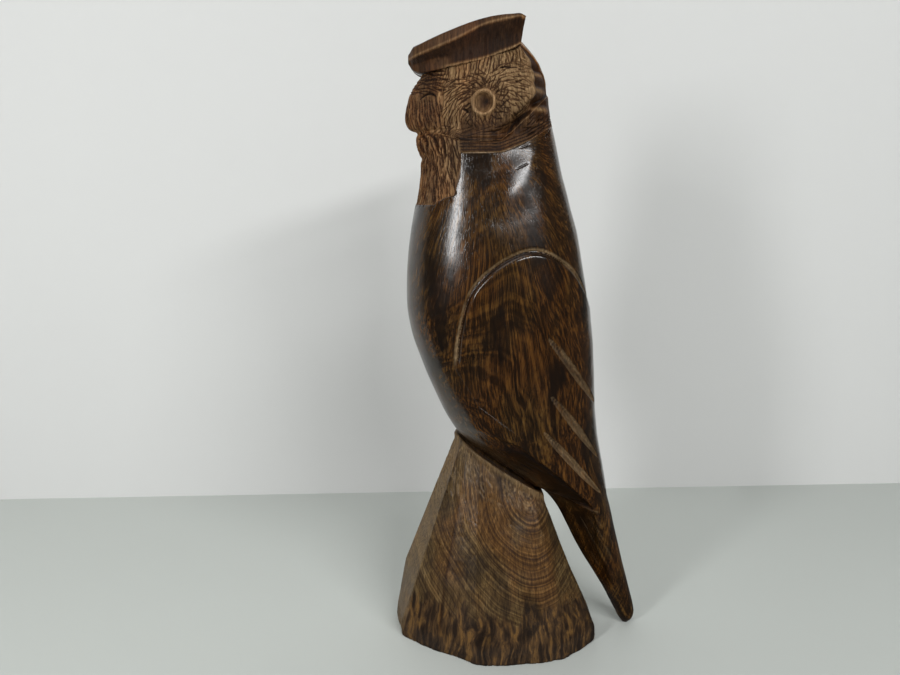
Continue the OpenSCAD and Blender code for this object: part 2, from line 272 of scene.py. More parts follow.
class Skin:
    """A closed stack of rings with a height of carving and three masks at each point: pale raw wood with
    painted highlights, rough finish, and stain with painted shade.
    """

    def __init__(self, points):
        self.points = points
        around = np.roll(points, -1, 1) - np.roll(points, 1, 1)
        upward = np.gradient(points, axis=0)
        normal = np.cross(around, upward)
        length = np.linalg.norm(normal, axis=-1, keepdims=True)
        self.normal = normal / np.maximum(length, 1e-9)
        self.step = np.linalg.norm(around, axis=-1) / 2
        self.rise = np.linalg.norm(upward, axis=-1)
        self.lift = np.zeros(points.shape[:2])
        self.strokes = np.zeros(points.shape[:2])
        self.mask = {name: np.zeros(points.shape[:2]) for name in ("cut", "rough", "stain_and_shade")}

    @property
    def folded(self):
        """The points with both sides laid on the owl's left."""
        return np.abs(self.points * [1, 0, 0]) + self.points * [0, 1, 1]

    def mark(self, name, amount):
        """Raises a mask to an amount, where it was lower."""
        self.mask[name] = np.maximum(self.mask[name], amount)

    def carved(self):
        """The points moved in or out by the carving."""
        return self.points + self.normal * (self.lift + self.strokes)[..., None]


def to_path(folded, path, margin):
    """Distance, progress from 0 to 1, and signed side-view offset from a path on the left side.

    Points well outside its margin are given OUT_OF_REACH."""
    shape = folded.shape[:-1]
    flat = folded.reshape(-1, 3)
    near = np.flatnonzero(((flat > path.min(0) - margin) & (flat < path.max(0) + margin)).all(1))
    best = np.full(len(flat), OUT_OF_REACH)
    progress = np.zeros(len(flat))
    offset = np.zeros(len(flat))
    p = flat[near]
    found = np.full(len(near), OUT_OF_REACH)
    t_found, s_found = np.zeros(len(near)), np.zeros(len(near))
    count = len(path) - 1
    for k in range(count):
        a, d = path[k], path[k + 1] - path[k]
        t = np.clip((p - a) @ d / (d @ d), 0, 1)
        gap = np.linalg.norm(p - a - t[:, None] * d, axis=1)
        side = ((p[:, 2] - a[2]) * d[1] - (p[:, 1] - a[1]) * d[2]) / np.hypot(d[1], d[2])
        closer = gap < found
        found = np.where(closer, gap, found)
        t_found = np.where(closer, (k + t) / count, t_found)
        s_found = np.where(closer, side, s_found)
    best[near], progress[near], offset[near] = found, t_found, np.sign(s_found) * found
    return best.reshape(shape), progress.reshape(shape), offset.reshape(shape)


def flank_x(rows, y, z):
    """Half width of a slice table at side-view points."""
    wide = along(rows, z, 3)
    span = np.where(y > wide, along(rows, z, 2) - wide, wide - along(rows, z, 1))
    n = np.where(y > wide, along(rows, z, 6), along(rows, z, 5))
    inside = np.maximum(1 - np.minimum(np.abs(y - wide) / span, 1) ** n, 0)
    return along(rows, z, 4) * inside ** (1 / n)


def on_flank(points, steps=6):
    """A side-view path laid on the left surface of the bird or head."""
    path = smooth_path(points, steps)
    y, z = path[:, 0], path[:, 1]
    x = np.where(z < np.mean(NECK_BLEND), flank_x(BIRD, y, np.minimum(z, BIRD[-1, 0])),
                 flank_x(HEAD, y, np.maximum(z, HEAD[0, 0])))
    return np.column_stack([x, y, z])


def carve_path(skin, points, width, depth, cut=0.0, rough=0.0, stain_and_shade=0.0, taper=0.25):
    """A groove along a side-view path on both sides, tapered at its ends, with shade painted into its bowl
    and its edges or raised lip painted pale.
    """
    gap, t, _ = to_path(skin.folded, on_flank(points), width + 2)
    swell = 0.15 + 0.85 * np.minimum(ease(t, -0.02, taper), ease(1.02 - t, 0, taper))
    bowl = np.clip(1 - (gap / (width / 2 * swell)) ** 2.0, 0, 1)
    skin.lift -= depth * swell * bowl
    edge = np.clip(bowl * 3, 0, 1)
    skin.mark("cut", cut * edge)
    skin.mark("rough", rough * edge)
    # Painted shade in the groove's bowl
    skin.mark("stain_and_shade", stain_and_shade * np.clip(bowl * 1.5, 0, 1))


def sway(mean, spread):
    """A flow for strokes that all point about the same way."""
    def flow(_, rng):
        return np.array(mean) + np.array(spread) * rng.standard_normal()

    return flow


def scratch(skin, seed, count, region, flow, length, width, depth, spacing, cut=0.0, dark=0.0):
    """Short knife strokes at random places in a region of x, y and z, laid along a flow."""
    rng = np.random.default_rng(seed)
    rows, columns = skin.lift.shape
    inside = np.flatnonzero(region(*np.moveaxis(skin.folded, -1, 0)))
    area = (skin.step * skin.rise).ravel()[inside]
    picks = rng.choice(inside, min(count * 4, len(inside)), replace=False, p=area / area.sum())
    points = skin.points.reshape(-1, 3)
    kept = []
    for pick in picks:
        if len(kept) >= count:
            break
        here = points[pick]
        if any(np.linalg.norm(here - points[k]) < spacing for k in kept[-400:]):
            continue
        kept.append(pick)
        i, j = divmod(pick, columns)
        normal = skin.normal[i, j]
        mirror = np.array([1.0 if here[0] >= 0 else -1.0, 1, 1])
        heading = flow(here * mirror, rng) * mirror
        heading = heading - normal * (heading @ normal)
        heading /= max(np.linalg.norm(heading), 1e-9)
        half = length / 2 * (0.6 + 0.8 * rng.random())
        half_width = width / 2 * (0.7 + 0.6 * rng.random())
        deep = depth * (0.6 + 0.8 * rng.random())
        reach_rows = int((half + width) / max(skin.rise[i, j], 0.1)) + 2
        reach_columns = min(int((half + width) / max(skin.step[i, j], 0.05)) + 2, columns // 5)
        r = np.arange(max(i - reach_rows, 0), min(i + reach_rows + 1, rows))
        c = np.arange(j - reach_columns, j + reach_columns + 1) % columns
        window = np.ix_(r, c)
        patch = skin.points[window] - here
        u = patch @ heading / half
        v = patch @ np.cross(normal, heading) / half_width
        blade = np.clip(1 - u * u, 0, 1) ** 0.7 * np.clip(1 - np.abs(v), 0, 1)
        skin.strokes[window] = np.minimum(skin.strokes[window], -deep * blade)
        # The dark amount paints shade into the stroke's valley and takes pale raw wood out of it
        skin.mask["cut"][window] *= 1 - dark * blade
        core = np.clip(blade * 1.9, 0, 1)
        for name, amount in (("cut", cut), ("stain_and_shade", dark)):
            skin.mask[name][window] = np.maximum(skin.mask[name][window], amount * core)


# ---------------------------------------------------------------- the carved figure

def figure_value(z, column):
    """A slice value of the whole figure, bird below the neck and head above it."""
    bird = along(BIRD, np.minimum(z, BIRD[-1, 0]), column)
    head = along(HEAD, np.clip(z, HEAD[0, 0], HEAD[-1, 0]), column)
    return bird + (head - bird) * ease(z, *NECK_BLEND)


def slice_rings(z, value, columns):
    """Rings with even spacing round each horizontal slice, starting at the front."""
    front, back, wide, half = (value(z, k) for k in (1, 2, 3, 4))
    rings = []
    fine = np.linspace(0, math.pi / 2, 200)
    c, s = np.cos(fine), np.sin(fine)
    for k in range(len(z)):
        quarters = []
        for end, roundness, count in ((front[k], value(z[k:k + 1], 5)[0], columns[0]),
                                      (back[k], value(z[k:k + 1], 6)[0], columns[1])):
            x = half[k] * curved(s, roundness)
            y = wide[k] + (end - wide[k]) * curved(c, roundness)
            run = np.concatenate([[0], np.cumsum(np.hypot(np.diff(x), np.diff(y)))])
            at = np.linspace(0, run[-1], count + 1)
            quarters.append(np.column_stack([np.interp(at, run, x), np.interp(at, run, y)]))
        left = np.vstack([quarters[0][:-1], quarters[1][::-1]])
        right = left[1:-1][::-1] * [-1, 1]
        ring = np.vstack([left, right])
        rings.append(np.column_stack([ring, np.full(len(ring), z[k])]))
    return np.array(rings)


def heights(*spans):
    """Heights made of spans (from, to, step), each ending where the next begins."""
    parts = [np.linspace(a, b, max(int(round((b - a) / step)), 1), endpoint=False)
             for a, b, step in spans]
    return np.concatenate(parts + [[spans[-1][1]]])


def carve_wings(skin):
    """The raised wing panels, the groove over each shoulder and the three feather gouges."""
    arc = on_flank(WING_ARC[:-1] + [[31, 180]], 8)
    folded = skin.folded
    gap, t, offset = to_path(folded, arc, 45)
    reached = gap < OUT_OF_REACH
    inside = np.where(reached, -offset, 0)
    z = folded[..., 2]
    shoulder = ease(inside, 0.0, 2.6) * (1 - ease(inside, 12, 44))
    skin.lift += WING_RELIEF * shoulder * ease(z, 128, 160) * ease(t, 0.0, 0.12) * reached
    taper = ease(t, -0.01, 0.07) * (1 - ease(t, 0.96, 1.0))
    broad = 1.5 + 0.9 * (1 - ease(t, 0.03, 0.14))
    outer = np.clip(1 - offset / broad, 0, 1) * (offset >= 0)
    inner = ease(offset, -2.0, 0.0) * (offset < 0)
    skin.lift -= (outer + inner) * (gap < 6) * taper
    patchy = 0.72 + 0.18 * np.clip(noise(skin.points, 9, 3) * 2, -1, 1) + 0.16 * noise(skin.points, 1.2, 4)
    strong = np.maximum(1 - ease(t, 0.10, 0.16), ease(t, 0.34, 0.5) * (1 - ease(t, 0.78, 0.9)))
    skin.mark("cut", np.clip(outer * 2.2, 0, 1) * taper * patchy * (0.74 + 0.26 * strong) * (gap < 3))
    # Painted shade on the groove's inner wall
    skin.mark("stain_and_shade", 0.8 * np.clip(inner * 1.6, 0, 1) * taper)
    for number, path in enumerate(GOUGES):
        carve_gouge(skin, number, path)


def carve_gouge(skin, number, path):
    """One feather gouge, with ripples at its upper end and a raised lip."""
    gap, t, offset = to_path(skin.folded, on_flank(path, 8), 6)
    swell = 0.25 + 0.75 * np.sin(np.pi * np.clip(t, 0, 1)) ** 0.7
    half = 1.95 * swell
    bowl = np.clip(1 - (gap / half) ** 2.4, 0, 1)
    run = np.linalg.norm(np.diff(path, axis=0), axis=1).sum() * t
    chatter = 1 + 0.22 * noise(skin.points, 1.7, 20 + number)
    skin.lift -= 1.4 * swell * bowl * chatter
    ripple = np.sin(2 * np.pi * (run + 0.5 * offset) / 2.3) * (1 - ease(t, 0.18, 0.42))
    skin.lift += 0.28 * bowl * ripple
    lip = hump(gap - half - 0.5, 0.6) * (gap < OUT_OF_REACH)
    skin.lift += 0.18 * lip * swell
    strip = noise(np.stack([offset, run / 9, 0 * run + number], -1), 0.8, 8)
    # The ripple troughs lose the pale raw colour, which paints shade into them; the middle of the bowl is
    # left darker in streaks
    middle = ease(bowl, 0.25, 0.8) * ease(strip, -0.45, 0.3)
    ridges = 0.4 * ease(-ripple, -0.2, 0.6) * (1 - ease(t, 0.2, 0.42))
    skin.mark("cut", np.clip(bowl * 4, 0, 1) * np.clip(0.66 - 0.48 * middle - ridges, 0, 1))
    skin.mark("stain_and_shade", 0.5 * bowl * ease(-strip, 0.2, 0.7))
    skin.mark("rough", np.clip(bowl * 3, 0, 1))


def channel_z(y):
    """Height of the deep channel under the face."""
    return line_value(CHANNEL, y)


def collar_z(y):
    """Height of the collar's lower edge."""
    return line_value(COLLAR_EDGE[::-1], y)


def carve_neck(skin):
    """The deep channel under the face, the tooled collar and its scribed lines."""
    folded = skin.folded
    y, z = folded[..., 1], folded[..., 2]
    slope = ease(z, 220, 236) * (1 - ease(z, 252, 260))
    aside = (y - np.interp(z, [222, 255], [-13.0, 2.5])) * 0.9
    skin.lift += 0.9 * slope * hump(aside, np.where(aside < 0, 8.0, 6.0))
    gap, _, offset = to_path(folded, on_flank(CHANNEL, 8), 9)
    deep = (1.5 + 1.6 * ease(y, -22, -6)) * (1 - 0.8 * ease(y, -2, 9)) * (1 - ease(y, 9, 12.5))
    deep = deep * ease(y, -44, -36)
    below = np.clip(1 - np.abs(offset) / 1.1, 0, 1) * (offset < 0)
    above = np.clip(1 - (np.abs(offset) / 4.6) ** 1.4, 0, 1) * (offset >= 0) * (gap < OUT_OF_REACH)
    skin.lift -= deep * (below + above)
    # Painted shade: a dark line in the channel and a darker band above it, under the overhanging head
    line = np.clip(1.5 - gap / 0.9, 0, 1)
    skin.mark("stain_and_shade", np.maximum(line, 0.62 * np.clip(above * 1.25, 0, 1)) * ease(y, -42, -32))
    scratch(skin, seed=32, count=70,
            region=lambda x, y, z: within(z - channel_z(y), 0.9, 5.0) & within(y, -38, 0) & (x > 5),
            flow=lambda p, rng: np.array([0, 1.0, 0.12 * rng.standard_normal() + 0.045 * max(p[1] + 20, 0)]),
            length=6.5, width=0.7, depth=0.35, spacing=1.1, dark=0.95)
    pocket = distance(folded, [25.5, -5.5, 263.0])
    skin.lift -= 1.9 * hump(pocket, 4.2)
    # Painted shade filling the pocket
    skin.mark("stain_and_shade", hump(pocket, 5.0))
    collar = ease(z - collar_z(y), -0.3, 0.3) * ease(y, -33, -30) * (1 - ease(z, 262, 270))
    skin.mark("rough", 0.7 * collar)
    skin.mark("stain_and_shade", collar * (0.76 + 0.16 * noise(skin.points, 2.5, 32, (1, 3, 1))))
    for rise, width, deep, tan in ((0.2, 0.8, 0.34, 0.7), (1.7, 0.8, 0.30, 0.6), (3.1, 0.7, 0.24, 0.45),
                                   (4.4, 0.6, 0.2, 0.3)):
        line = [[at_y, at_z + rise] for at_y, at_z in SCRIBED]
        carve_path(skin, line, width, deep, cut=tan, rough=1, taper=0.06)
    # Fine collar lines with painted shade in them
    for rise in (1.0, 2.4, 3.8):
        line = [[at_y, collar_z(at_y) + rise] for at_y in (-32, -27, -20, -14, -6, 0, 7, 12)]
        carve_path(skin, line, 0.7, 0.15, rough=1, stain_and_shade=1, taper=0.06)
    scratch(skin, seed=31, count=150,
            region=lambda x, y, z: within(z - collar_z(y), 0.9, 4.6) & within(y, -32, 6),
            flow=sway((0, 1, 0.25), (0, 0, 0.35)),
            length=3.6, width=0.7, depth=0.3, spacing=0.8, cut=0.25, dark=0.3)


def carve_throat(skin):
    """The feather bib: long scratches, curved flutes under the beak and a ragged edge."""
    folded = skin.folded
    y, z = folded[..., 1], folded[..., 2]
    edge_y = line_value(BIB_EDGE, z)
    ragged = noise(skin.points, 2.2, 5, (1, 1, 2.5)) * 1.3
    bib = ease(edge_y - y + ragged, 0.0, 1.4) * ease(z, 227.2, 229.2) * (1 - ease(z, 261.4, 262.6))
    skin.lift -= 0.45 * bib
    skin.mark("rough", bib)
    # Painted shade along the step at the bib's edge
    skin.mark("stain_and_shade", 0.6 * (1 - bib) * within(z, 227.6, 262.3) * (y < edge_y + 0.6))
    skin.mark("cut", 0.22 * bib * ease(noise(skin.points, 1.3, 7, (1, 1, 4)), -0.2, 0.6))
    skin.mark("stain_and_shade", 0.25 * bib * ease(noise(skin.points, 7, 6, (1, 1, 1.7)), 0.1, 0.7))
    # Flutes with painted shade in them, and a pale raised line beside each
    for path, width, deep in (([[-50.5, 262], [-47.6, 258], [-46.2, 252]], 2.4, 1.5),
                              ([[-51.2, 258.5], [-49.6, 255], [-48.6, 250]], 2.2, 1.4),
                              ([[-47, 262], [-43.2, 257.5], [-41.6, 250.5]], 2.2, 1.2),
                              ([[-49.9, 250], [-48.8, 246.5], [-48.4, 241]], 1.9, 1.0),
                              ([[-43, 261], [-39.3, 256], [-38.2, 247]], 1.8, 0.9)):
        carve_path(skin, path, width, deep, rough=1, stain_and_shade=0.85)
        carve_path(skin, [[at_y + 1.6, at_z] for at_y, at_z in path], 1.2, -0.4, cut=0.25)
    skin.lift -= 0.7 * hump(z - 249.2, 1.3) * (1 - ease(y, -49, -44))
    scratch(skin, seed=41, count=560,
            region=lambda x, y, z: (y < line_value(BIB_STROKES, z)) & within(z, 228.6, 261),
            flow=lambda p, rng: np.array([0.12 * rng.standard_normal(),
                                          0.20 + 0.012 * (p[1] + 44) + 0.14 * rng.standard_normal(), -1]),
            length=5.0, width=0.9, depth=0.7, spacing=1.1, dark=0.9)


def eye_flow(turn):
    """Strokes that point away from the eye, turned by an angle in degrees."""
    a = math.radians(turn)

    def flow(p, rng):
        d = p - EYE_CENTRE
        spin = a + 0.25 * rng.standard_normal()
        return np.array([0, d[1] * math.cos(spin) - d[2] * math.sin(spin),
                         d[1] * math.sin(spin) + d[2] * math.cos(spin)])

    return flow


def brow_line(y):
    """Height of the brow's underside at the face."""
    return line_value(BROW_FOOT, y)


def face_rim(z):
    """Where the face ends behind, by height."""
    return line_value(FACE_RIM, z)


def on_face(x, y, z):
    """The part of the face that is feathered, clear of the eye, the beak, the brow and the rim."""
    away = distance(np.stack([x, y, z], -1), EYE_CENTRE)
    return (z > 262.5) & (z < brow_line(y) - 5.5) & within(y, -38.5, -1.2) & (away > 6.6)


def carve_face(skin):
    """Facial discs, eye sockets, feather strokes, the back rim and the notches behind it."""
    folded = skin.folded
    x, y, z = np.moveaxis(folded, -1, 0)
    side = x > 9
    rim_y = face_rim(z)
    face = ease(z, 259.5, 262.5) * (1 - ease(y, rim_y - 0.4, rim_y + 0.4))
    skin.mark("rough", face)
    skin.mark("rough", ease(z, 261.5, 262.6) * (y < -20))
    skin.mark("cut", 0.40 * face * ease(noise(skin.points, 1.5, 17), -0.8, 0.3))
    eye_gap = distance(folded, EYE_CENTRE)
    skin.lift -= 0.55 * hump(eye_gap - 7.4, 1.5)
    # Painted shade in the sunken ring round the eye
    skin.mark("stain_and_shade", 0.5 * hump(eye_gap - 6.9, 1.1))
    skin.lift += 0.35 * hump(eye_gap - 10.5, 2.2) * face
    behind = ease(y, rim_y - 0.2, rim_y + 0.9) * ease(z, 262, 266) * side
    skin.lift -= 0.7 * behind * (1 - ease(y, rim_y + 4, rim_y + 9))
    # Painted shade in the lowered band behind the face's rim
    skin.mark("stain_and_shade", 0.86 * behind)
    skin.mark("rough", 0.5 * behind)
    skin.lift += 0.35 * hump(y - rim_y + 0.6, 1.1) * ease(z, 264, 268) * (1 - ease(z, 290, 295)) * side
    for spot, size in (((14.5, 3.6, 288.3), 2.2), ((17.1, 4.8, 281.1), 2.4), ((19.2, 4.7, 272.8), 2.8)):
        pit = hump(np.linalg.norm((folded - spot) / [3.2, 1.8, 0.6], axis=-1), size)
        skin.lift -= 1.3 * pit
        # Painted shade in each notch, and a painted highlight on the crescent below it
        skin.mark("stain_and_shade", 0.9 * np.clip(pit * 1.5, 0, 1))
        lit = hump(np.linalg.norm((folded - spot + [0, 0, 2.7]) / [3.2, 1.8, 0.4], axis=-1), size)
        skin.mask["stain_and_shade"] *= 1 - 0.8 * lit
        skin.mark("cut", 0.55 * lit)
    # Creases with painted shade in them, and one raised pale line
    carve_path(skin, [[-14.2, 287.1], [-11.5, 287.6], [-8.9, 287.2]], 1.5, 0.9, stain_and_shade=1)
    carve_path(skin, [[-7.7, 281.1], [-4.1, 281.7]], 1.0, 0.6, stain_and_shade=0.9)
    carve_path(skin, [[-30.5, 270.2], [-29, 269.4], [-27.8, 268.2]], 1.5, 0.9, stain_and_shade=1)
    carve_path(skin, [[-11.1, 272.2], [-7, 272.1], [-3.6, 272.3]], 1.2, -0.35, cut=0.55)
    carve_path(skin, [[-47.5, 284.6], [-42, 283.9], [-35.5, 283.3]], 1.0, 0.6, stain_and_shade=0.85)
    scratch(skin, seed=51, count=120,
            region=lambda x, y, z: on_face(x, y, z) & (distance(np.stack([x, y, z], -1), EYE_CENTRE) < 11),
            flow=eye_flow(22),
            length=4.4, width=0.8, depth=0.65, spacing=1.5, dark=0.9)
    scratch(skin, seed=52, count=290,
            region=lambda x, y, z: on_face(x, y, z) & (y < -21),
            flow=eye_flow(48),
            length=4.8, width=0.72, depth=0.6, spacing=1.4, dark=0.88)
    scratch(skin, seed=53, count=290,
            region=lambda x, y, z: on_face(x, y, z) & (y >= -21),
            flow=eye_flow(-35),
            length=4.2, width=0.68, depth=0.55, spacing=1.35, dark=0.85)
    scratch(skin, seed=54, count=150,
            region=lambda x, y, z: within(z - brow_line(y), -6.5, -0.8) & within(y, -46, -3),
            flow=sway((0, 0.10, 1), (0, 0.1, 0)),
            length=5.0, width=0.75, depth=0.55, spacing=1.5, dark=0.85)
    scratch(skin, seed=55, count=60,
            region=lambda x, y, z: (y > face_rim(z) + 1) & (y < 10) & within(z, 259, 268) & (x > 14),
            flow=sway((0, 1, 0.6), (0, 0, 0.2)),
            length=4.0, width=1.2, depth=0.7, spacing=1.2, dark=0.95)


def carve_beak(skin):
    """Nostril arches, the crease between beak and face, and the hatching on the bill."""
    # The nostril and the crease have painted shade in them; the raised line is pale
    carve_path(skin, [[-50.2, 275.6], [-48, 277.4], [-45, 277.9], [-42, 276.2]], 1.6, 1.0,
               rough=1, stain_and_shade=1)
    carve_path(skin, [[-49.4, 274.9], [-46, 275.2], [-42.2, 274.2]], 1.3, -0.35, cut=0.3)
    carve_path(skin, [[-41, 283.5], [-39.5, 278], [-39.8, 271], [-42.3, 264]], 1.7, 0.7,
               rough=1, stain_and_shade=0.45)
    _, y, z = np.moveaxis(skin.folded, -1, 0)
    skin.mark("stain_and_shade", 0.50 * ease(-40.5 - y, 0, 2) * ease(z, 261, 264))
    scratch(skin, seed=61, count=90,
            region=lambda x, y, z: (y < -40) & within(z, 278.5, 288) & (x > 1.5),
            flow=sway((0, 1, -0.32), (0, 0, 0.08)),
            length=7.5, width=0.95, depth=0.6, spacing=1.5, dark=0.95)
    scratch(skin, seed=62, count=130,
            region=lambda x, y, z: (y < -40) & within(z, 263.5, 274.5) & (x > 1.0),
            flow=sway((0, 0.22, -1), (0, 0.14, 0)),
            length=5.0, width=0.95, depth=0.65, spacing=1.45, dark=0.95)


def carve_underside(skin):
    """The hard ridge under the wings, the scooped facet above the perch and the tail's facets."""
    x, y, z = np.moveaxis(skin.folded, -1, 0)
    ahead = line_value(RIDGE, z) - y
    scoop = ease(ahead, 0.3, 3.0) * (1 - ease(ahead, 9, 24)) * ease(z, 74, 80) * (1 - ease(z, 112, 121))
    skin.lift -= 1.2 * scoop * ease(x, 4, 12)
    # Painted shade on the scooped facet under the ridge
    dark = 0.95 - 0.40 * ease(ahead, 8, 18)
    skin.mark("stain_and_shade", dark * ease(ahead, 0.2, 2.0) * ease(z, 70, 80) * (1 - ease(z, 108, 118)))
    scratch(skin, seed=71, count=46,
            region=lambda x, y, z: (line_value(RIDGE, z) - y > 2) & within(z, 80, 113) & (x > 3),
            flow=sway((0.1, 1, -0.85), (0, 0, 0.05)),
            length=17, width=1.5, depth=0.22, spacing=2.0)
    band_y = np.interp(z, [6.2, 48.9, 73.2, 80], [57.4, 42.4, 38.6, 38])
    below = line_value(TAIL[:5], y) - z
    facet = ease(below, 0.0, 1.0) * (1 - ease(y, band_y - 1.6, band_y + 0.2))
    skin.lift -= 1.5 * facet * (1 - ease(below, 6, 34)) + 0.25 * facet
    lip = hump(below + 0.2, 0.8) * ease(y, 24, 32) * (1 - ease(y, 39, 41)) * (x > 6)
    skin.lift += 0.3 * lip
    # Painted highlight along the lip, and painted shade on the undercut facet
    skin.mark("cut", 0.35 * lip)
    skin.mark("stain_and_shade", 0.3 * facet)
    scratch(skin, seed=72, count=26,
            region=lambda x, y, z: within(z, 10, 70) & (y < 50) & (x > 2),
            flow=sway((0, 0.55, -1), (0, 0.04, 0)),
            length=16, width=1.3, depth=0.14, spacing=2.5, cut=0.12)


def carve_wear(skin):
    """Hand-made unevenness everywhere, and two drying cracks under the collar."""
    p = skin.points
    skin.lift += 0.32 * noise(p, 26, 11) + 0.10 * noise(p, 9, 12) + 0.02 * noise(p, 3.0, 13)
    skin.lift += skin.mask["rough"] * (0.14 * noise(p, 2.2, 14) + 0.07 * noise(p, 1.0, 15))
    for crack in ([[-7.5, 243.2], [-4, 244.8], [-1, 246.4]], [[-5.5, 252.6], [-2.5, 253.7], [0, 254.6]]):
        carve_path(skin, crack, 0.6, 0.35, stain_and_shade=1, taper=0.3)


def make_figure():
    """The whole bird, carved, before it is parted."""
    z = heights((0, 8, 0.8), (8, 60, 0.85), (60, 126, 0.6), (126, 226, 0.62), (226, 258, 0.34),
                (258, 300, 0.28), (300, 308, 0.8))
    skin = Skin(slice_rings(z, figure_value, SIDE_COLUMNS))
    for carve in (carve_underside, carve_wings, carve_throat, carve_neck, carve_face, carve_beak, carve_wear):
        carve(skin)
    ground = skin.points[..., 2] < 6
    skin.lift[ground] *= np.clip(skin.points[..., 2][ground] / 6, 0, 1)
    skin.lift[0] = 0
    skin.strokes[0] = 0
    return skin


# ---------------------------------------------------------------- the brow plate

def brow_profile(y, count):
    """Half sections of the brow plate at each y: crown, then rim and undercut, evenly spaced."""
    rim, top, edge, low, in_x, in_z, crown_x = (along(BROW, y, k) for k in range(1, 8))
    drop = (top - edge) * crown_x / rim
    crown, side = [], []
    for k in range(len(y)):
        arch = smooth_path([[0, top[k]], [crown_x[k] / 2, top[k] - 0.3 * drop[k]],
                            [crown_x[k], top[k] - drop[k] - 0.6]], 8)
        flank = smooth_path([[crown_x[k], top[k] - drop[k] - 0.6], [rim[k], edge[k]]], 6)
        band = smooth_path([[rim[k], edge[k]], [rim[k] + 0.3, low[k]]], 4)
        under = smooth_path([[rim[k] + 0.3, low[k]],
                             [(rim[k] + in_x[k]) / 2 - 0.8, (low[k] + in_z[k]) / 2],
                             [in_x[k], in_z[k]]], 8)
        crown.append(even(arch, count[0]))
        side.append(np.vstack([even(flank, count[1])[:-1], even(band, count[2])[:-1],
                               even(under, count[3])]))
    return np.array(crown), np.array(side)


def even(path, count):
    """The same path with evenly spaced points."""
    run = np.concatenate([[0], np.cumsum(np.linalg.norm(np.diff(path, axis=0), axis=1))])
    at = np.linspace(0, run[-1], count + 1)
    return np.column_stack([np.interp(at, run, path[:, k]) for k in range(2)])


def make_brows():
    """The crown and the two brow tufts as rings at each y, with the same tooling on each."""
    y = heights((-55.6, -53.5, 0.2), (-53.5, -2.8, 0.34))
    halves = brow_profile(y, (34, 20, 8, 40))
    floor = along(BROW, y, 6)
    tips = np.where(y < -53.2, np.sqrt(np.clip((y + 56.2) / 3.0, 0, 1)), 1)[:, None, None]
    middle = np.column_stack([np.zeros(len(y)), (along(BROW, y, 2) + floor) / 2])[:, None]
    crown, side = (middle + (half - middle) * tips for half in halves)
    floor = np.minimum(floor, side[:, -1, 1])
    edge = crown[:, -1:]
    bottom = np.stack([crown[:, -1, 0], floor], -1)[:, None]
    wall = edge + (bottom - edge) * np.linspace(0, 1, 10)[1:-1, None]
    sections = {
        "crown": both_sides(np.concatenate([crown, wall, bottom], 1)),
        "left": np.concatenate([edge, side, bottom, wall[:, ::-1]], 1),
        "whole": both_sides(np.concatenate([crown, side], 1)),
    }
    skins = {}
    for name, section in sections.items():
        keep = np.ones(section.shape[1], bool)
        keep[1:] = np.linalg.norm(np.diff(section[len(y) // 2], axis=0), axis=1) > 1e-6
        section = section[:, keep]
        at_y = np.broadcast_to(y[:, None, None], section.shape[:2] + (1,))
        points = np.concatenate([section[..., :1], at_y, section[..., 1:]], -1)
        skins[name] = tool_brow(Skin(points), name)
    mirrored = Skin(skins["left"].points[:, ::-1] * [-1, 1, 1])
    skins["right"] = tool_brow(mirrored, "right")
    return skins


def both_sides(half):
    """Whole sections from their left halves, which start on the middle plane."""
    return np.concatenate([half, half[:, 1:][:, ::-1] * [-1, 1]], 1)


def tool_brow(skin, name):
    """Bevel, undercut and knife chatter on the brow, as functions of place only."""
    x, y, z = np.moveaxis(skin.folded, -1, 0)
    at = np.clip(y, BROW[0, 0], BROW[-1, 0])
    rim, edge, low, foot_z = (along(BROW, at, k) for k in (1, 3, 4, 6))
    outside = ease(x, rim - 3.5, rim - 2.0)
    under = ease(low - z, 0.0, 0.8) * outside
    band = np.clip(1 - np.abs(z - (edge + low) / 2) / np.maximum((edge - low) / 2 + 0.4, 0.5), 0, 1) * outside
    skin.mark("rough", under)
    if name != "crown":
        skin.mark("stain_and_shade", np.full_like(z, 0.72))
        skin.mark("rough", np.full_like(z, 0.6))
    # Painted shade under the brow's rim
    skin.mark("stain_and_shade", under * 0.92)
    tip = 1 - ease(y, -54.5, -51)
    skin.mark("rough", 0.9 * tip)
    skin.mark("stain_and_shade", 0.7 * tip)
    # Painted highlight along the rim's lower edge
    lit = hump(z - low - 0.3, 0.5) * outside * (name != "crown")
    skin.mark("cut", 0.10 * band + 0.3 * lit)
    skin.mask["stain_and_shade"] *= 1 - 0.6 * lit
    heel = hump(z - foot_z - 0.5, 0.7) * outside * ease(y, -46, -38)
    skin.mark("cut", 0.45 * heel)
    skin.mask["stain_and_shade"] *= 1 - 0.8 * heel
    chatter = noise(np.stack([x * 0, y, z], -1), 0.85, 91, (1, 1, 7))
    foot = ease(low - z, 2.5, 6) * (1 - ease(y, -20, -12))
    skin.lift -= under * (0.22 * np.clip(chatter, 0, 1) + 0.35 * foot * np.clip(chatter + 0.2, 0, 1))
    skin.mark("cut", 0.42 * under * foot * ease(-chatter, 0.1, 0.45))
    slant = noise(np.stack([x * 0, y + 0.55 * z, z], -1), 0.9, 92, (1, 1, 9))
    back = ease(y, -20, -13)
    skin.lift -= 0.3 * under * back * np.clip(slant, 0, 1)
    skin.mark("cut", 0.38 * under * back * ease(-slant, 0.05, 0.45))
    skin.lift += 0.12 * noise(skin.points, 8, 93) + 0.03 * noise(skin.points, 2.0, 94)
    fall = np.clip(309 - z, 0, 14) / 14
    skin.points[..., 1] -= 2.3 * fall ** 0.8 * ease(y, -20, -3)
    return skin


# ---------------------------------------------------------------- the stump

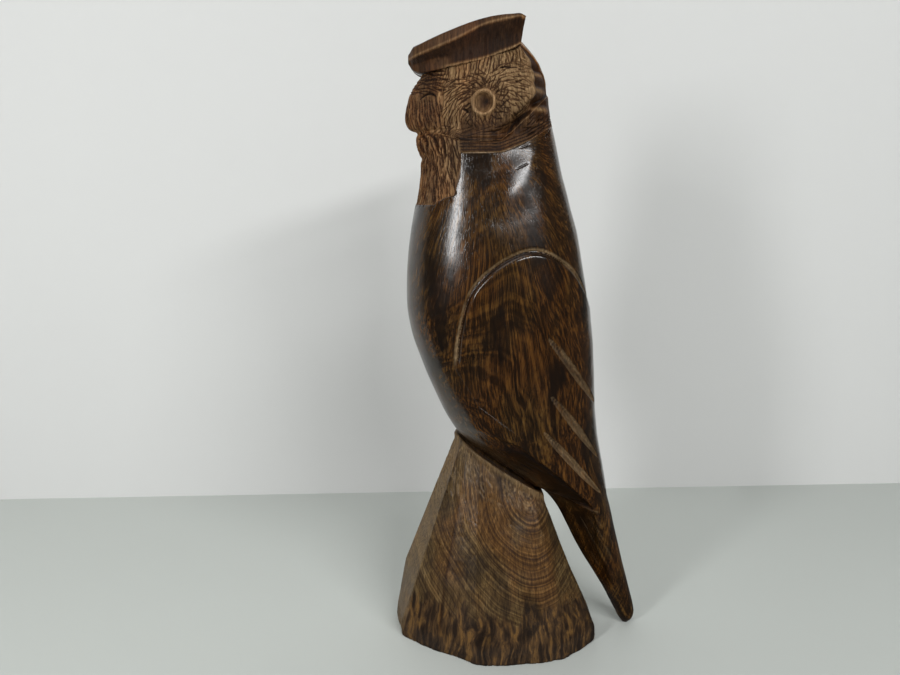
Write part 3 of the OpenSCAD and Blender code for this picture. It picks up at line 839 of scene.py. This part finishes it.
def perch_z(y):
    """Height of the slope that ends the stump under the bird."""
    slope = (PERCH_BACK[1] - PERCH_FRONT[1]) / (PERCH_BACK[0] - PERCH_FRONT[0])
    return PERCH_FRONT[1] + (y - PERCH_FRONT[0]) * slope


def soften(points, sigma, axis, wrap):
    """Blurs points along one axis, which rounds the corners there."""
    reach = int(3 * sigma) + 1
    kernel = np.exp(-0.5 * (np.arange(-reach, reach + 1) / sigma) ** 2)
    kernel /= kernel.sum()
    total = 0
    for k, weight in zip(range(-reach, reach + 1), kernel):
        if wrap:
            total = total + weight * np.roll(points, k, axis)
        else:
            index = np.clip(np.arange(points.shape[axis]) + k, 0, points.shape[axis] - 1)
            total = total + weight * np.take(points, index, axis)
    return total


def stump_rings():
    """Rings of the stump from the foot to the perch, with softened corners."""
    columns = 432
    corner = np.concatenate([STUMP, STUMP[:1]])
    foot = np.column_stack([corner[:, 0], np.zeros(len(corner))])
    band = np.column_stack([corner[:, 0] * 0.99, np.full(len(corner), FOOT_BAND_Z)])
    knee = np.column_stack([corner[:, 1], np.full(len(corner), FACET_BREAK_Z)])
    top = np.column_stack([corner[:, 2], perch_z(corner[:, 2, 1])])
    run = np.concatenate([[0], np.cumsum(np.linalg.norm(np.diff(knee, axis=0), axis=1))])
    at = np.linspace(0, run[-1], columns, endpoint=False)

    def ring(level):
        return np.column_stack([np.interp(at, run, level[:, k]) for k in range(3)])

    levels = np.array([ring(foot), ring(band), ring(knee), ring(top)])
    v = heights((0, 1, 0.07), (1, 2, 0.022), (2, 3, 0.0087))
    low = np.clip(np.floor(v).astype(int), 0, 2)
    t = (v - low)[:, None, None]
    rings = levels[low] * (1 - t) + levels[low + 1] * t
    rounded = soften(rings, 1.6, 1, True)
    crisp = soften(rings, 0.9, 1, True)
    near_foot = (1 - ease(rings[..., 2], 3, 17))[..., None]
    rings = crisp * (1 - near_foot) + rounded * near_foot
    return soften(rings, 1.2, 0, False)


def make_stump():
    """Points and masks of the stump: its facets, its foot, and the hollow under the bird."""
    skin = Skin(stump_rings())
    p = skin.points
    x, y, z = np.moveaxis(p, -1, 0)
    glossy = ease(np.interp(z, [0, FACET_BREAK_Z, 109], STUMP[0, :, 1]) - y, -0.4, 0.4) * (x > -5)
    uneven = 0.45 * noise(p, 15, 101) + 0.16 * noise(p, 6, 102, (1, 1, 1.8)) + 0.05 * noise(p, 2.0, 103)
    skin.lift += uneven * (1 - 0.75 * glossy)
    # The bare facet is paler as raw wood, and this also paints its sheen
    skin.mark("cut", 0.33 * glossy)
    from_edge = y - np.interp(z, [0, FACET_BREAK_Z, 105], [-43, -39, -26])
    # Painted shade along the facet corner, and a painted highlight beside it
    skin.mark("stain_and_shade", 0.6 * hump(from_edge, 0.8) * (x > 5) * (1 - ease(z, 55, 85)) * ease(z, 8, 16))
    skin.mark("cut", 0.35 * hump(from_edge - 1.6, 0.9) * (x > 5) * ease(z, 50, 80)
              * ease(noise(p, 1.2, 114, (1, 1, 2)), -0.2, 0.6))
    foot = 1 - ease(z, 0, 5)
    skin.lift += foot * (0.6 * noise(p, 8, 104) + 0.3 * noise(p, 3, 105)) - 0.3 * foot
    skin.lift -= 0.5 * (1 - ease(z, 0, 1.2))
    top_gap = perch_z(y) - z
    skin.lift += 1.1 * hump(top_gap - 0.6, 1.8)
    skin.mark("cut", 0.5 * hump(top_gap - 1.4, 1.4) * ease(noise(p, 6, 110), -0.7, 0.1))
    raw = (1 - ease(top_gap, 5, 26)) * ease(noise(p, 7, 109), -0.5, 0.4) * (1 - glossy)
    skin.mark("cut", 0.50 * raw * ease(noise(p, 0.9, 108, (1, 1, 2.2)), -0.1, 0.5))
    skin.mark("stain_and_shade", 0.40 * raw * ease(noise(p, 1.4, 107, (1, 1, 2.5)), 0.15, 0.5))
    skin.mark("rough", 1 - ease(z, 7, 11))
    skin.mark("rough", 0.8 * (1 - ease(top_gap, 6, 14)))
    scratch(skin, seed=111, count=260,
            region=lambda x, y, z: z < FOOT_BAND_Z,
            flow=sway((0, 0, 1), (0, 0.08, 0)),
            length=6, width=0.8, depth=0.30, spacing=1.0)
    scratch(skin, seed=112, count=90,
            region=lambda x, y, z: within(z, 14, 95),
            flow=sway((0, 1, -0.9), (0, 0.3, 0)),
            length=5.0, width=0.9, depth=0.22, spacing=3.0)
    scratch(skin, seed=113, count=120,
            region=lambda x, y, z: (z > 78) & (y < 0),
            flow=sway((0.2, 0.35, -1), (0, 0.3, 0)),
            length=6, width=1.0, depth=0.36, spacing=1.4, cut=0.3)
    points = skin.carved()
    points[0, :, 2] = 0
    return cap_stump(points, skin.mask)


def cap_stump(points, masks):
    """Adds the rings that turn in over the stump's top edge and go down under the bird, pale at the lip and
    darkened with painted shade as they go down.
    """
    edge = points[-1]
    centre = edge.mean(0)
    sunk = []
    masks = {name: list(mask) for name, mask in masks.items()}
    for inset, drop, cut, stain_and_shade in ((0.06, -0.1, 0.45, 0.1), (0.10, 0.3, 0.25, 0.3), (0.17, -0.6, 0.0, 0.8),
                                    (0.24, -3.0, 0.0, 1.0), (0.45, -9, 0.0, 1.0), (0.9, -14, 0.0, 1.0)):
        ring = edge + (centre - edge) * inset
        ring[:, 2] = perch_z(ring[:, 1]) - drop
        sunk.append(ring)
        for name, amount in (("cut", cut), ("stain_and_shade", stain_and_shade), ("rough", 0.8)):
            masks[name].append(np.full(len(edge), amount))
    return np.concatenate([points, np.array(sunk)]), {name: np.array(m) for name, m in masks.items()}


# ---------------------------------------------------------------- meshes

def add_mesh(name, points, faces, masks=None, smooth=True):
    """A mesh object from points in millimetres, with the masks as attributes."""
    mesh = bpy.data.meshes.new(name)
    mesh.from_pydata((np.asarray(points) * MM).tolist(), [], faces)
    if masks:
        for mask, values in masks.items():
            layer = mesh.attributes.new(mask, "FLOAT", "POINT")
            layer.data.foreach_set("value", np.clip(values, 0, 1).astype(np.float32))
    mesh.polygons.foreach_set("use_smooth", [smooth] * len(mesh.polygons))
    piece = bpy.data.objects.new(name, mesh)
    bpy.context.scene.collection.objects.link(piece)
    return piece


def grid_object(name, points, masks=None, smooth=True):
    """A closed solid from a stack of rings, capped with a fan at each end."""
    rows, columns = points.shape[:2]
    i = np.arange(rows - 1)[:, None] * columns
    j = np.arange(columns)[None]
    k = (j + 1) % columns
    walls = np.stack([i + j, i + k, i + columns + k, i + columns + j], -1).reshape(-1, 4).tolist()
    foot, top = rows * columns, rows * columns + 1
    last = (rows - 1) * columns
    caps = [[foot, (c + 1) % columns, c] for c in range(columns)]
    caps += [[top, last + c, last + (c + 1) % columns] for c in range(columns)]
    flat = np.vstack([points.reshape(-1, 3), points[0].mean(0), points[-1].mean(0)])
    values = None
    if masks:
        values = {n: np.concatenate([m.ravel(), [m[0].mean(), m[-1].mean()]]) for n, m in masks.items()}
    return add_mesh(name, flat, walls + caps, values, smooth)


def skin_object(name, skin):
    """A carved skin as a closed solid."""
    return grid_object(name, skin.carved(), skin.mask)


def prism(name, outline, x_from=-REACH, x_to=REACH):
    """A flat side outline (y, z) pushed across the figure."""
    y, z = np.transpose(outline)
    count = len(y)
    points = [[x, *place] for x in (x_from, x_to) for place in outline]
    faces = [[k, (k + 1) % count, count + (k + 1) % count, count + k] for k in range(count)]
    faces += [list(range(count))[::-1], list(range(count, 2 * count))]
    if np.sum(y * np.roll(z, -1) - z * np.roll(y, -1)) < 0:
        faces = [f[::-1] for f in faces]
    return add_mesh(name, points, faces, smooth=False)


def parted(name, source, keep=(), remove=()):
    """A copy of a solid, kept inside some solids and cut away by others."""
    piece = bpy.data.objects.new(name, source.data)
    bpy.context.scene.collection.objects.link(piece)
    for operation, tools in (("INTERSECT", keep), ("DIFFERENCE", remove)):
        for tool in tools:
            step = piece.modifiers.new(tool.name, "BOOLEAN")
            step.operation = operation
            step.solver = "MANIFOLD"
            step.object = tool
    graph = bpy.context.evaluated_depsgraph_get()
    mesh = bpy.data.meshes.new_from_object(piece.evaluated_get(graph))
    piece.modifiers.clear()
    piece.data = mesh
    mesh.name = name
    return piece


def lathe(profile, turns=96):
    """Rings of a turned profile (r, h) about +X, before it is placed at the eye."""
    angle = np.linspace(0, 2 * math.pi, turns, endpoint=False)
    r, h = profile[:, 0][:, None], profile[:, 1][:, None]
    return np.stack([np.broadcast_to(h, (len(profile), turns)), r * np.cos(angle), r * np.sin(angle)], -1)


def at_eye(points, side):
    """Moves points made about the +X axis to the left or right eye."""
    turn = math.radians(EYE_TURN)
    x = points[..., 0] * math.cos(turn) - points[..., 1] * math.sin(turn)
    y = points[..., 0] * math.sin(turn) + points[..., 1] * math.cos(turn)
    moved = np.stack([x, y, points[..., 2]], -1) + EYE_CENTRE
    return moved if side > 0 else moved[:, ::-1] * [-1, 1, 1]


def eye_pieces(side, name):
    """The raised ring and the sunken disc of one eye."""
    ring = np.array([[EYE_RING_R, -EYE_DEPTH], [EYE_RING_R, 0.0], [5.62, 0.32], [5.35, 0.62], [5.0, 0.72],
                     [4.65, 0.6], [4.38, 0.28], [4.24, -0.1], [EYE_DISC_R, -0.3],
                     [EYE_DISC_R, -EYE_DEPTH]])
    fine = np.vstack([ring[:1], smooth_path(ring[1:-1], 6), ring[-1:]])
    points = at_eye(lathe(fine), side)
    crest = np.repeat(hump(fine[:, 0] - 5.0, 0.55)[:, None], points.shape[1], 1)
    shape = Skin(points)
    shape.lift += (0.10 * noise(points, 2.4, 131) + 0.05 * noise(points, 1.0, 132)) * (crest > 0.02)
    masks = {"cut": 0.45 * crest, "rough": np.ones_like(crest), "stain_and_shade": np.zeros_like(crest)}
    rim = ring_object(name + "_eye_ring", shape.carved(), masks)

    disc = np.array([[EYE_DISC_R, -EYE_DEPTH], [EYE_DISC_R, -0.35], [3.9, -0.5], [3.3, -0.75],
                     [2.6, -0.85], [1.9, -0.8], [1.2, -0.75], [0.5, -0.7], [0.02, -0.7]])
    fine = np.vstack([disc[:1], smooth_path(disc[1:], 6)])
    turned = lathe(fine)
    points = at_eye(turned, side)
    bare = Skin(points)
    inner = np.repeat(ease(-fine[:, 0], -3.9, -3.4)[:, None], points.shape[1], 1)
    off_centre = np.hypot(turned[..., 1] - 0.7, (turned[..., 2] - 0.5) * 0.85)
    pupil = hump(off_centre + 0.5 * noise(points, 1.6, 135), 2.1) * inner
    bare.lift += (0.22 * noise(points, 1.5, 133) + 0.08 * noise(points, 0.8, 134)) * inner
    bare.lift -= 0.8 * pupil
    masks = {"cut": 0.15 * (1 - pupil), "rough": np.ones_like(pupil), "stain_and_shade": 0.42 + 0.58 * pupil}
    return rim, grid_object(name + "_eye", bare.carved(), masks)


def ring_object(name, points, masks):
    """A closed tube: the last ring joins the first."""
    rows, columns = points.shape[:2]
    i = np.arange(rows)[:, None]
    j = np.arange(columns)[None]
    a, b = i * columns, ((i + 1) % rows) * columns
    k = (j + 1) % columns
    walls = np.stack([a + j, a + k, b + k, b + j], -1).reshape(-1, 4).tolist()
    return add_mesh(name, points.reshape(-1, 3), walls, {n: m.ravel() for n, m in masks.items()})


def eye_plug(side):
    """The block that clears the head for an eye."""
    ends = np.array([[EYE_RING_R, -EYE_DEPTH], [EYE_RING_R, 6.0]])
    return grid_object("eye_plug", at_eye(lathe(ends), side), smooth=False)


# ---------------------------------------------------------------- materials

class Nodes:
    """A short way to write a material's node tree."""

    def __init__(self, name):
        self.material = bpy.data.materials.new(name)
        self.material.use_nodes = True
        self.tree = self.material.node_tree
        self.tree.nodes.clear()

    def add(self, kind, **settings):
        node = self.tree.nodes.new(kind)
        for key, value in settings.items():
            setattr(node, key, value)
        return node

    def link(self, value, socket):
        if isinstance(value, bpy.types.NodeSocket):
            self.tree.links.new(value, socket)
        else:
            socket.default_value = value

    def wire(self, node, values):
        """Links or sets a node's inputs by name."""
        for name, value in values.items():
            self.link(value, node.inputs[name])
        return node

    def math(self, operation, *values):
        node = self.add("ShaderNodeMath", operation=operation)
        for socket, value in zip(node.inputs, values):
            self.link(value, socket)
        return node.outputs[0]

    def blend(self, *parts):
        """The sum of pairs of a value and its share."""
        total = self.math("MULTIPLY", *parts[0])
        for value, share in parts[1:]:
            total = self.math("ADD", total, self.math("MULTIPLY", value, share))
        return total

    def vector(self, operation, *values):
        node = self.add("ShaderNodeVectorMath", operation=operation)
        for socket, value in zip(node.inputs, values):
            self.link(value, socket)
        return node.outputs["Value" if operation == "LENGTH" else "Vector"]

    def mix(self, factor, a, b, blend="MIX"):
        node = self.add("ShaderNodeMix", data_type="RGBA", blend_type=blend)
        self.link(factor, node.inputs["Factor"])
        self.link(a, node.inputs[6])
        self.link(b, node.inputs[7])
        return node.outputs[2]

    def span(self, value, low, high, to_low=0.0, to_high=1.0):
        node = self.add("ShaderNodeMapRange", interpolation_type="SMOOTHSTEP")
        for socket, v in zip(node.inputs, (value, low, high, to_low, to_high)):
            self.link(v, socket)
        return node.outputs[0]

    def texture(self, dimensions, **values):
        return self.wire(self.add("ShaderNodeTexNoise", noise_dimensions=dimensions), values)

    def noise(self, place, stretch, detail=2.0, roughness=0.5):
        """Noise with features of about 1 / stretch along each axis."""
        return self.texture("3D", Vector=self.vector("MULTIPLY", place, stretch), Scale=1.0, Detail=detail,
                            Roughness=roughness).outputs["Fac"]

    def layers(self, w, scale, detail, roughness):
        """Noise along one number, for layers of uneven width."""
        return self.texture("1D", W=w, Scale=scale, Detail=detail, Roughness=roughness).outputs["Fac"]

    def bend(self, place, stretch, amount):
        """Moves a place by smooth noise, so that what is drawn there wanders."""
        drift = self.texture("3D", Vector=self.vector("MULTIPLY", place, stretch), Scale=1.0, Detail=1.0)
        shift = self.vector("SUBTRACT", drift.outputs["Color"], (0.5, 0.5, 0.5))
        return self.vector("ADD", place, self.vector("MULTIPLY", shift, (amount, amount, amount)))

    def ramp(self, factor, stops):
        node = self.add("ShaderNodeValToRGB")
        self.link(factor, node.inputs[0])
        ramp = node.color_ramp
        while len(ramp.elements) < len(stops):
            ramp.elements.new(0.5)
        for element, (place, colour) in zip(ramp.elements, stops):
            element.position = place
            element.color = (*colour, 1)
        return node.outputs["Color"]

    def attribute(self, name):
        return self.add("ShaderNodeAttribute", attribute_name=name).outputs["Fac"]

    def surface(self, shader):
        self.link(shader.outputs[0], self.add("ShaderNodeOutputMaterial").inputs["Surface"])
        return self.material


RAW = ((0.0, (0.16, 0.096, 0.040)), (1.0, (0.41, 0.275, 0.135)))  # dark and pale fibres of cut wood, also used for painted highlights
HUES = ((0.0, (1.0, 0.84, 0.68)), (0.5, (0.93, 0.90, 0.86)), (1.0, (0.86, 0.92, 0.96)))  # red to olive


def wood(name, stops, ring_share, blotch, gloss, tooth, relief, polish, heart=(0.0, 60.0, 280.0),
         squash=(0.6, 1.0, 0.2), wander=(14.0, 2.0), fan=None, sap_z=None):
    """Ironwood: growth layers nested round a heart, long fibres, pores, dark patches, and pale
    raw wood where the masks say it is cut, with the same pale colour painted as highlights on
    lips and edges. A second mask darkens the wood with stain and with painted shade, almost
    black where it is deepest. The fibres run upright, or fan out from a point.
    Below sap_z the layers give way to upright streaks."""
    n = Nodes(name)
    p = n.vector("SCALE", n.add("ShaderNodeTexCoord").outputs["Object"])
    p.node.inputs["Scale"].default_value = 1000.0
    bent = n.bend(n.bend(p, (0.012, 0.012, 0.009), wander[0]), (0.06, 0.06, 0.045), wander[1])
    fibres = n.noise(bent, (1.7, 1.7, 0.12), 1.0)
    pores = n.noise(bent, (2.3, 2.3, 0.40), 1.0)
    colour = figured(n, bent, fibres, stops, ring_share, heart, squash, fan)
    if sap_z:
        colour = n.mix(sapwood_share(n, p, sap_z), colour, sapwood(n, bent))
    patches = n.noise(bent, (0.06, 0.06, 0.025), 2.0, 0.6)
    colour = n.mix(n.span(patches, 0.53, 0.62, 0.0, blotch), colour, (0.0060, 0.0032, 0.0018, 1))
    colour = n.mix(n.span(pores, 0.60, 0.70, 0.0, 0.55), colour, (0.0060, 0.0030, 0.0014, 1))

    cut, rough, stain_and_shade = (n.attribute(a) for a in ("cut", "rough", "stain_and_shade"))
    raw = n.ramp(n.span(fibres, 0.3, 0.7), RAW)
    # Pale raw wood, and the same pale colour painted as highlights on lips and edges
    colour = n.mix(n.math("MULTIPLY", cut, n.span(pores, 0.35, 0.6, 1.0, 0.75)), colour, raw)
    # Stain and painted shade: a brown tint, then almost black where the mask is deepest
    colour = n.mix(stain_and_shade, colour, (0.45, 0.27, 0.15, 1), "MULTIPLY")
    deep = n.math("MULTIPLY", n.math("POWER", stain_and_shade, 2.0), 0.94)
    colour = n.mix(deep, colour, (0.0062, 0.0027, 0.0010, 1))

    shine = n.span(n.noise(p, (0.06, 0.06, 0.06), 3.0, 0.6), 0.3, 0.7, *gloss)
    shine = n.math("ADD", shine, n.math("MULTIPLY", n.math("SUBTRACT", fibres, 0.5), 0.10))
    dull = n.math("MAXIMUM", n.math("MULTIPLY", rough, tooth), n.math("MULTIPLY", cut, 0.42))

    grain = n.blend((fibres, 0.5), (n.span(pores, 0.58, 0.70, 1.0, 0.0), 0.5))
    fine = n.wire(n.add("ShaderNodeBump"), {"Strength": relief, "Distance": 0.00012, "Height": grain})
    fuzz = n.noise(p, (1.7, 1.7, 0.7), 3.0, 0.65)
    torn = n.math("MULTIPLY", n.math("MAXIMUM", rough, cut), 0.75)
    tooled = n.wire(n.add("ShaderNodeBump"), {"Strength": torn, "Distance": 0.0004, "Height": fuzz,
                                              "Normal": fine.outputs["Normal"]})
    return n.surface(n.wire(n.add("ShaderNodeBsdfPrincipled"), {
        "Base Color": colour, "Roughness": n.math("ADD", shine, dull), "Normal": tooled.outputs["Normal"],
        "IOR": 1.5, "Specular IOR Level": polish}))


def figured(n, bent, fibres, stops, ring_share, heart, squash, fan):
    """The wood's own colour from its growth layers, streaks and fibres, redder or greener by place."""
    ring = n.vector("LENGTH", n.vector("MULTIPLY", n.vector("SUBTRACT", bent, heart), squash))
    layers = n.blend((n.layers(ring, 1.05, 1.5, 0.6), 0.66), (n.layers(ring, 0.21, 1.0, 0.5), 0.34))
    if fan:
        away = n.vector("MULTIPLY", n.vector("SUBTRACT", bent, fan), (0.0, 1.0, 1.0))
        across = n.vector("ADD", n.vector("MULTIPLY", n.vector("NORMALIZE", away), (0.0, 105.0, 105.0)),
                          n.vector("MULTIPLY", bent, (0.8, 0.0, 0.0)))
        out = n.math("MULTIPLY", n.vector("LENGTH", away), 0.016)
        streaks = n.texture("4D", Vector=across, W=out, Scale=1.0, Detail=3.0, Roughness=0.65).outputs["Fac"]
    else:
        streaks = n.noise(bent, (0.8, 0.8, 0.036), 2.5, 0.6)
    shade = n.blend((layers, ring_share), (streaks, 0.85 - ring_share), (fibres, 0.15))
    hue = n.noise(bent, (0.05, 0.05, 0.02))
    return n.mix(1.0, n.ramp(n.span(shade, 0.33, 0.67), stops), n.ramp(n.span(hue, 0.36, 0.64), HUES),
                 "MULTIPLY")


def sapwood(n, bent):
    """Upright flame-shaped streaks, dark to tan."""
    flames = n.noise(n.bend(bent, (0.11, 0.11, 0.08), 5.0), (0.42, 0.42, 0.045), 3.0, 0.6)
    return n.ramp(n.span(flames, 0.36, 0.66),
                  ((0.0, (0.020, 0.011, 0.006)), (0.4, (0.050, 0.027, 0.012)),
                   (0.7, (0.080, 0.042, 0.016)), (1.0, (0.15, 0.077, 0.022))))


def sapwood_share(n, p, sap_z):
    """1 below a wavy line under sap_z, 0 above it."""
    height = n.add("ShaderNodeSeparateXYZ")
    n.link(p, height.inputs[0])
    uneven = n.noise(p, (0.16, 0.16, 0.05), 2.0, 0.6)
    level = n.math("ADD", height.outputs["Z"], n.math("MULTIPLY", uneven, -30.0))
    return n.span(level, sap_z - 18.0, sap_z - 11.0, 1.0, 0.0)


MATERIALS = {
    "polished_wood": wood(
        "polished_wood",
        ((0.0, (0.0070, 0.0031, 0.0011)), (0.35, (0.020, 0.0088, 0.0024)),
         (0.65, (0.050, 0.0220, 0.0050)), (1.0, (0.135, 0.065, 0.015))),
        ring_share=0.26, blotch=0.8, gloss=(0.17, 0.25), tooth=0.26, relief=0.25, polish=0.5,
        heart=(0.0, -12.0, 122.0), squash=(0.85, 1.0, 0.36), wander=(16.0, 4.0), fan=(0.0, -27.0, 264.0)),
    "carved_wood": wood(
        "carved_wood",
        ((0.0, (0.098, 0.0490, 0.0190)), (0.35, (0.173, 0.0930, 0.0390)),
         (0.7, (0.263, 0.150, 0.069)), (1.0, (0.39, 0.238, 0.117))),
        ring_share=0.25, blotch=0.35, gloss=(0.30, 0.42), tooth=0.24, relief=0.4, polish=0.14),
    "stump_wood": wood(
        "stump_wood",
        ((0.0, (0.030, 0.0155, 0.0065)), (0.35, (0.062, 0.0330, 0.0118)),
         (0.68, (0.112, 0.0630, 0.0225)), (1.0, (0.20, 0.120, 0.046))),
        ring_share=0.50, blotch=0.5, gloss=(0.28, 0.42), tooth=0.2, relief=0.5, polish=0.36,
        heart=(8.0, 6.0, 84.0), squash=(0.7, 1.0, 0.72), wander=(16.0, 4.0), sap_z=26.0),
    "cut_wood": wood(
        "cut_wood",
        ((0.0, (0.14, 0.069, 0.027)), (0.5, (0.29, 0.155, 0.069)), (1.0, (0.46, 0.265, 0.130))),
        ring_share=0.25, blotch=0.1, gloss=(0.32, 0.44), tooth=0.2, relief=0.4, polish=0.25),
}


# ---------------------------------------------------------------- assembly

def finish_piece(piece, node, slot):
    """Gives a piece its material and its place in the frame."""
    piece.data.materials.clear()
    piece.data.materials.append(MATERIALS[slot])
    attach(piece, "root")
    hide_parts(node)


def build():
    """Carves the owl and the stump, parts them along the CAD's lines and names every piece."""
    figure = skin_object("figure", make_figure())
    brows = make_brows()
    brow = skin_object("brow", brows["whole"])
    stump = grid_object("stump", *make_stump())
    core_z = heights((70, 112, 3.5), (112, 262, 6))
    core = grid_object("core", slice_rings(core_z, shrunk, (11, 11)), smooth=False)

    head_zone = prism("head_zone", NECK_GROOVE + [[30, 330], [-60, 330]])
    neck_zone = prism("neck_zone", NECK_GROOVE + COLLAR_EDGE)
    bib_zone = prism("bib_zone", BIB)
    beak_zone = prism("beak_zone", BEAK)
    tail_zone = prism("tail_zone", TAIL)
    wing_outline = np.vstack([smooth_path(WING_ARC, 4), WING_FOOT])
    left_block = prism("left_block", wing_outline, WING_GAP, REACH)
    right_block = prism("right_block", wing_outline, -REACH, -WING_GAP)
    left_zone = parted("left_zone", left_block, remove=[core])
    right_zone = parted("right_zone", right_block, remove=[core])
    plugs = [eye_plug(1), eye_plug(-1)]

    pieces = [(parted("owl_stump", stump, remove=[figure]), "stump_base", "stump_wood")]
    for node, slot, keep, remove in (
            ("torso", "polished_wood", [],
             [head_zone, neck_zone, bib_zone, tail_zone, left_zone, right_zone]),
            ("tail", "polished_wood", [tail_zone], []),
            ("neck_band", "carved_wood", [neck_zone], [bib_zone]),
            ("chest_bib", "carved_wood", [bib_zone], []),
            ("head", "carved_wood", [head_zone], [bib_zone, beak_zone, brow, *plugs]),
            ("beak", "carved_wood", [beak_zone], [bib_zone, brow])):
        pieces.append((parted("owl_" + node, figure, keep, remove), node, slot))
    for node, part, slot in (("crown", "crown", "polished_wood"), ("left_brow_tuft", "left", "carved_wood"),
                             ("right_brow_tuft", "right", "carved_wood")):
        pieces.append((skin_object("owl_" + node, brows[part]), node, slot))
    for side, zone in (("left", left_zone), ("right", right_zone)):
        pieces.append((parted(f"owl_{side}_wing", figure, [zone]), side + "_wing", "polished_wood"))
    for name, side in (("left", 1), ("right", -1)):
        ring, disc = eye_pieces(side, "owl_" + name)
        pieces.append((ring, name + "_eye_ring", "cut_wood"))
        pieces.append((disc, name + "_eye", "carved_wood"))
    for tool in (figure, brow, stump, core, head_zone, neck_zone, bib_zone, beak_zone, tail_zone,
                 left_block, right_block, left_zone, right_zone, *plugs):
        bpy.data.objects.remove(tool)
    for piece, node, slot in pieces:
        finish_piece(piece, node, slot)


def shrunk(z, column):
    """Slice values of the bird less the depth of a wing panel."""
    change = {1: WING_DEPTH, 2: -WING_DEPTH, 4: -WING_DEPTH}.get(column, 0.0)
    return along(BIRD, z, column) + change


# ---------------------------------------------------------------- stage, lights and camera

def plain(name, colour, roughness):
    """A paint's nodes and its shader, very slightly uneven in tone."""
    n = Nodes(name)
    drift = n.noise(n.add("ShaderNodeTexCoord").outputs["Object"], (3.0, 3.0, 3.0))
    darker = tuple(c * 0.985 for c in colour)
    tint = n.mix(n.span(drift, 0.3, 0.7), (*darker, 1), (*colour, 1))
    shader = n.wire(n.add("ShaderNodeBsdfPrincipled"), {"Base Color": tint, "Roughness": roughness})
    return n, shader


def flat(name, corners, paint, mirrored):
    """A flat panel of the stage, which reflections show only if it is mirrored."""
    panel = add_mesh(name, corners, [[0, 1, 2, 3]], smooth=False)
    panel.data.materials.append(paint)
    panel.visible_glossy = mirrored
    return panel


def build_stage():
    """A pale table that meets a pale wall behind the owl; the wall is open from its back.

    Only some of it shows in reflections, because the polish mirrors a dark room elsewhere."""
    n, shader = plain("table_top", (0.56, 0.59, 0.56), 0.55)
    paint = n.surface(shader)
    back = WALL_X - FAR
    for name, (near_x, far_x), (left_y, right_y), mirrored in (
            ("table_back", (0, back), (-FAR, TABLE_SPLIT_Y), True),
            ("table_near", (FAR, 0), (-FAR, TABLE_SPLIT_Y), False),
            ("table", (FAR, back), (TABLE_SPLIT_Y, FAR), False)):
        table = flat(name, [[far_x, left_y, FLOOR_Z], [near_x, left_y, FLOOR_Z],
                            [near_x, right_y, FLOOR_Z], [far_x, right_y, FLOOR_Z]], paint, mirrored)
    n, shader = plain("wall_paint", (0.72, 0.725, 0.715), 0.9)
    choose = n.add("ShaderNodeMixShader")
    clear = n.add("ShaderNodeBsdfTransparent")
    behind = n.add("ShaderNodeNewGeometry").outputs["Backfacing"]
    for socket, value in zip(choose.inputs, (behind, shader.outputs["BSDF"], clear.outputs["BSDF"])):
        n.link(value, socket)
    paint = n.surface(choose)
    for name, start, end, mirrored in (("wall", -FAR, WALL_SPLIT_Y, True),
                                       ("wall_right", WALL_SPLIT_Y, FAR, False)):
        low, high = WALL_X - WALL_TURN * start, WALL_X - WALL_TURN * end
        wall = flat(name, [[low, start, FLOOR_Z], [high, end, FLOOR_Z], [high, end, FAR], [low, start, FAR]],
                    paint, mirrored)


def area_light(name, direction, far, size, power, target, roll=0.0):
    """A rectangular lamp at a direction and a distance in metres from a target, facing it."""
    data = bpy.data.lights.new(name, "AREA")
    data.shape = "RECTANGLE"
    data.size, data.size_y = size
    data.energy = power
    light = bpy.data.objects.new(name, data)
    bpy.context.scene.collection.objects.link(light)
    direction = Vector(direction).normalized()
    light.location = target + direction * far
    light.rotation_euler = direction.to_track_quat("Z", "Y").to_euler()
    light.rotation_euler.rotate_axis("Z", math.radians(roll))


def build_lights(centre):
    """A tall window on the left, a long low strip on the right, a soft ceiling, and a dim room
    that looks pale."""
    area_light("window_left", (0.68, -0.66, 0.32), 0.87, (0.12, 0.34), 3.2, centre)
    area_light("strip_right", (0.742, 0.429, 0.530), 1.3, (0.84, 0.12), 10.8, centre, roll=6.0)
    area_light("ceiling", (0.10, -0.25, 1.0), 1.7, (1.3, 1.3), 6.2, centre)
    world = bpy.data.worlds.new("room")
    bpy.context.scene.world = world
    world.use_nodes = True
    tree = world.node_tree
    seen = tree.nodes["Background"]
    seen.inputs["Color"].default_value = (0.70, 0.715, 0.70, 1)
    seen.inputs["Strength"].default_value = 0.9
    dim = tree.nodes.new("ShaderNodeBackground")
    dim.inputs["Color"].default_value = (0.80, 0.82, 0.80, 1)
    dim.inputs["Strength"].default_value = 0.08
    choose = tree.nodes.new("ShaderNodeMixShader")
    rays = tree.nodes.new("ShaderNodeLightPath")
    tree.links.new(rays.outputs["Is Camera Ray"], choose.inputs[0])
    tree.links.new(dim.outputs[0], choose.inputs[1])
    tree.links.new(seen.outputs[0], choose.inputs[2])
    tree.links.new(choose.outputs[0], tree.nodes["World Output"].inputs["Surface"])


def build_camera():
    """The photograph's viewpoint: level with the owl's neck on its left, looking down a little."""
    data = bpy.data.cameras.new("camera")
    data.sensor_width = 36.0
    data.lens = 27.04
    data.clip_start, data.clip_end = 0.01, 20.0
    camera = bpy.data.objects.new("camera", data)
    bpy.context.scene.collection.objects.link(camera)
    pitch = math.radians(12.0)
    camera.location = Vector((337.0, -36.0, 233.0)) * MM
    look = Vector((-math.cos(pitch), 0.0, -math.sin(pitch)))
    camera.rotation_euler = look.to_track_quat("-Z", "Y").to_euler()
    bpy.context.scene.camera = camera


build()
build_stage()
build_lights((cad_low + cad_high) / 2)
build_camera()
bpy.context.scene.view_settings.view_transform = "Standard"
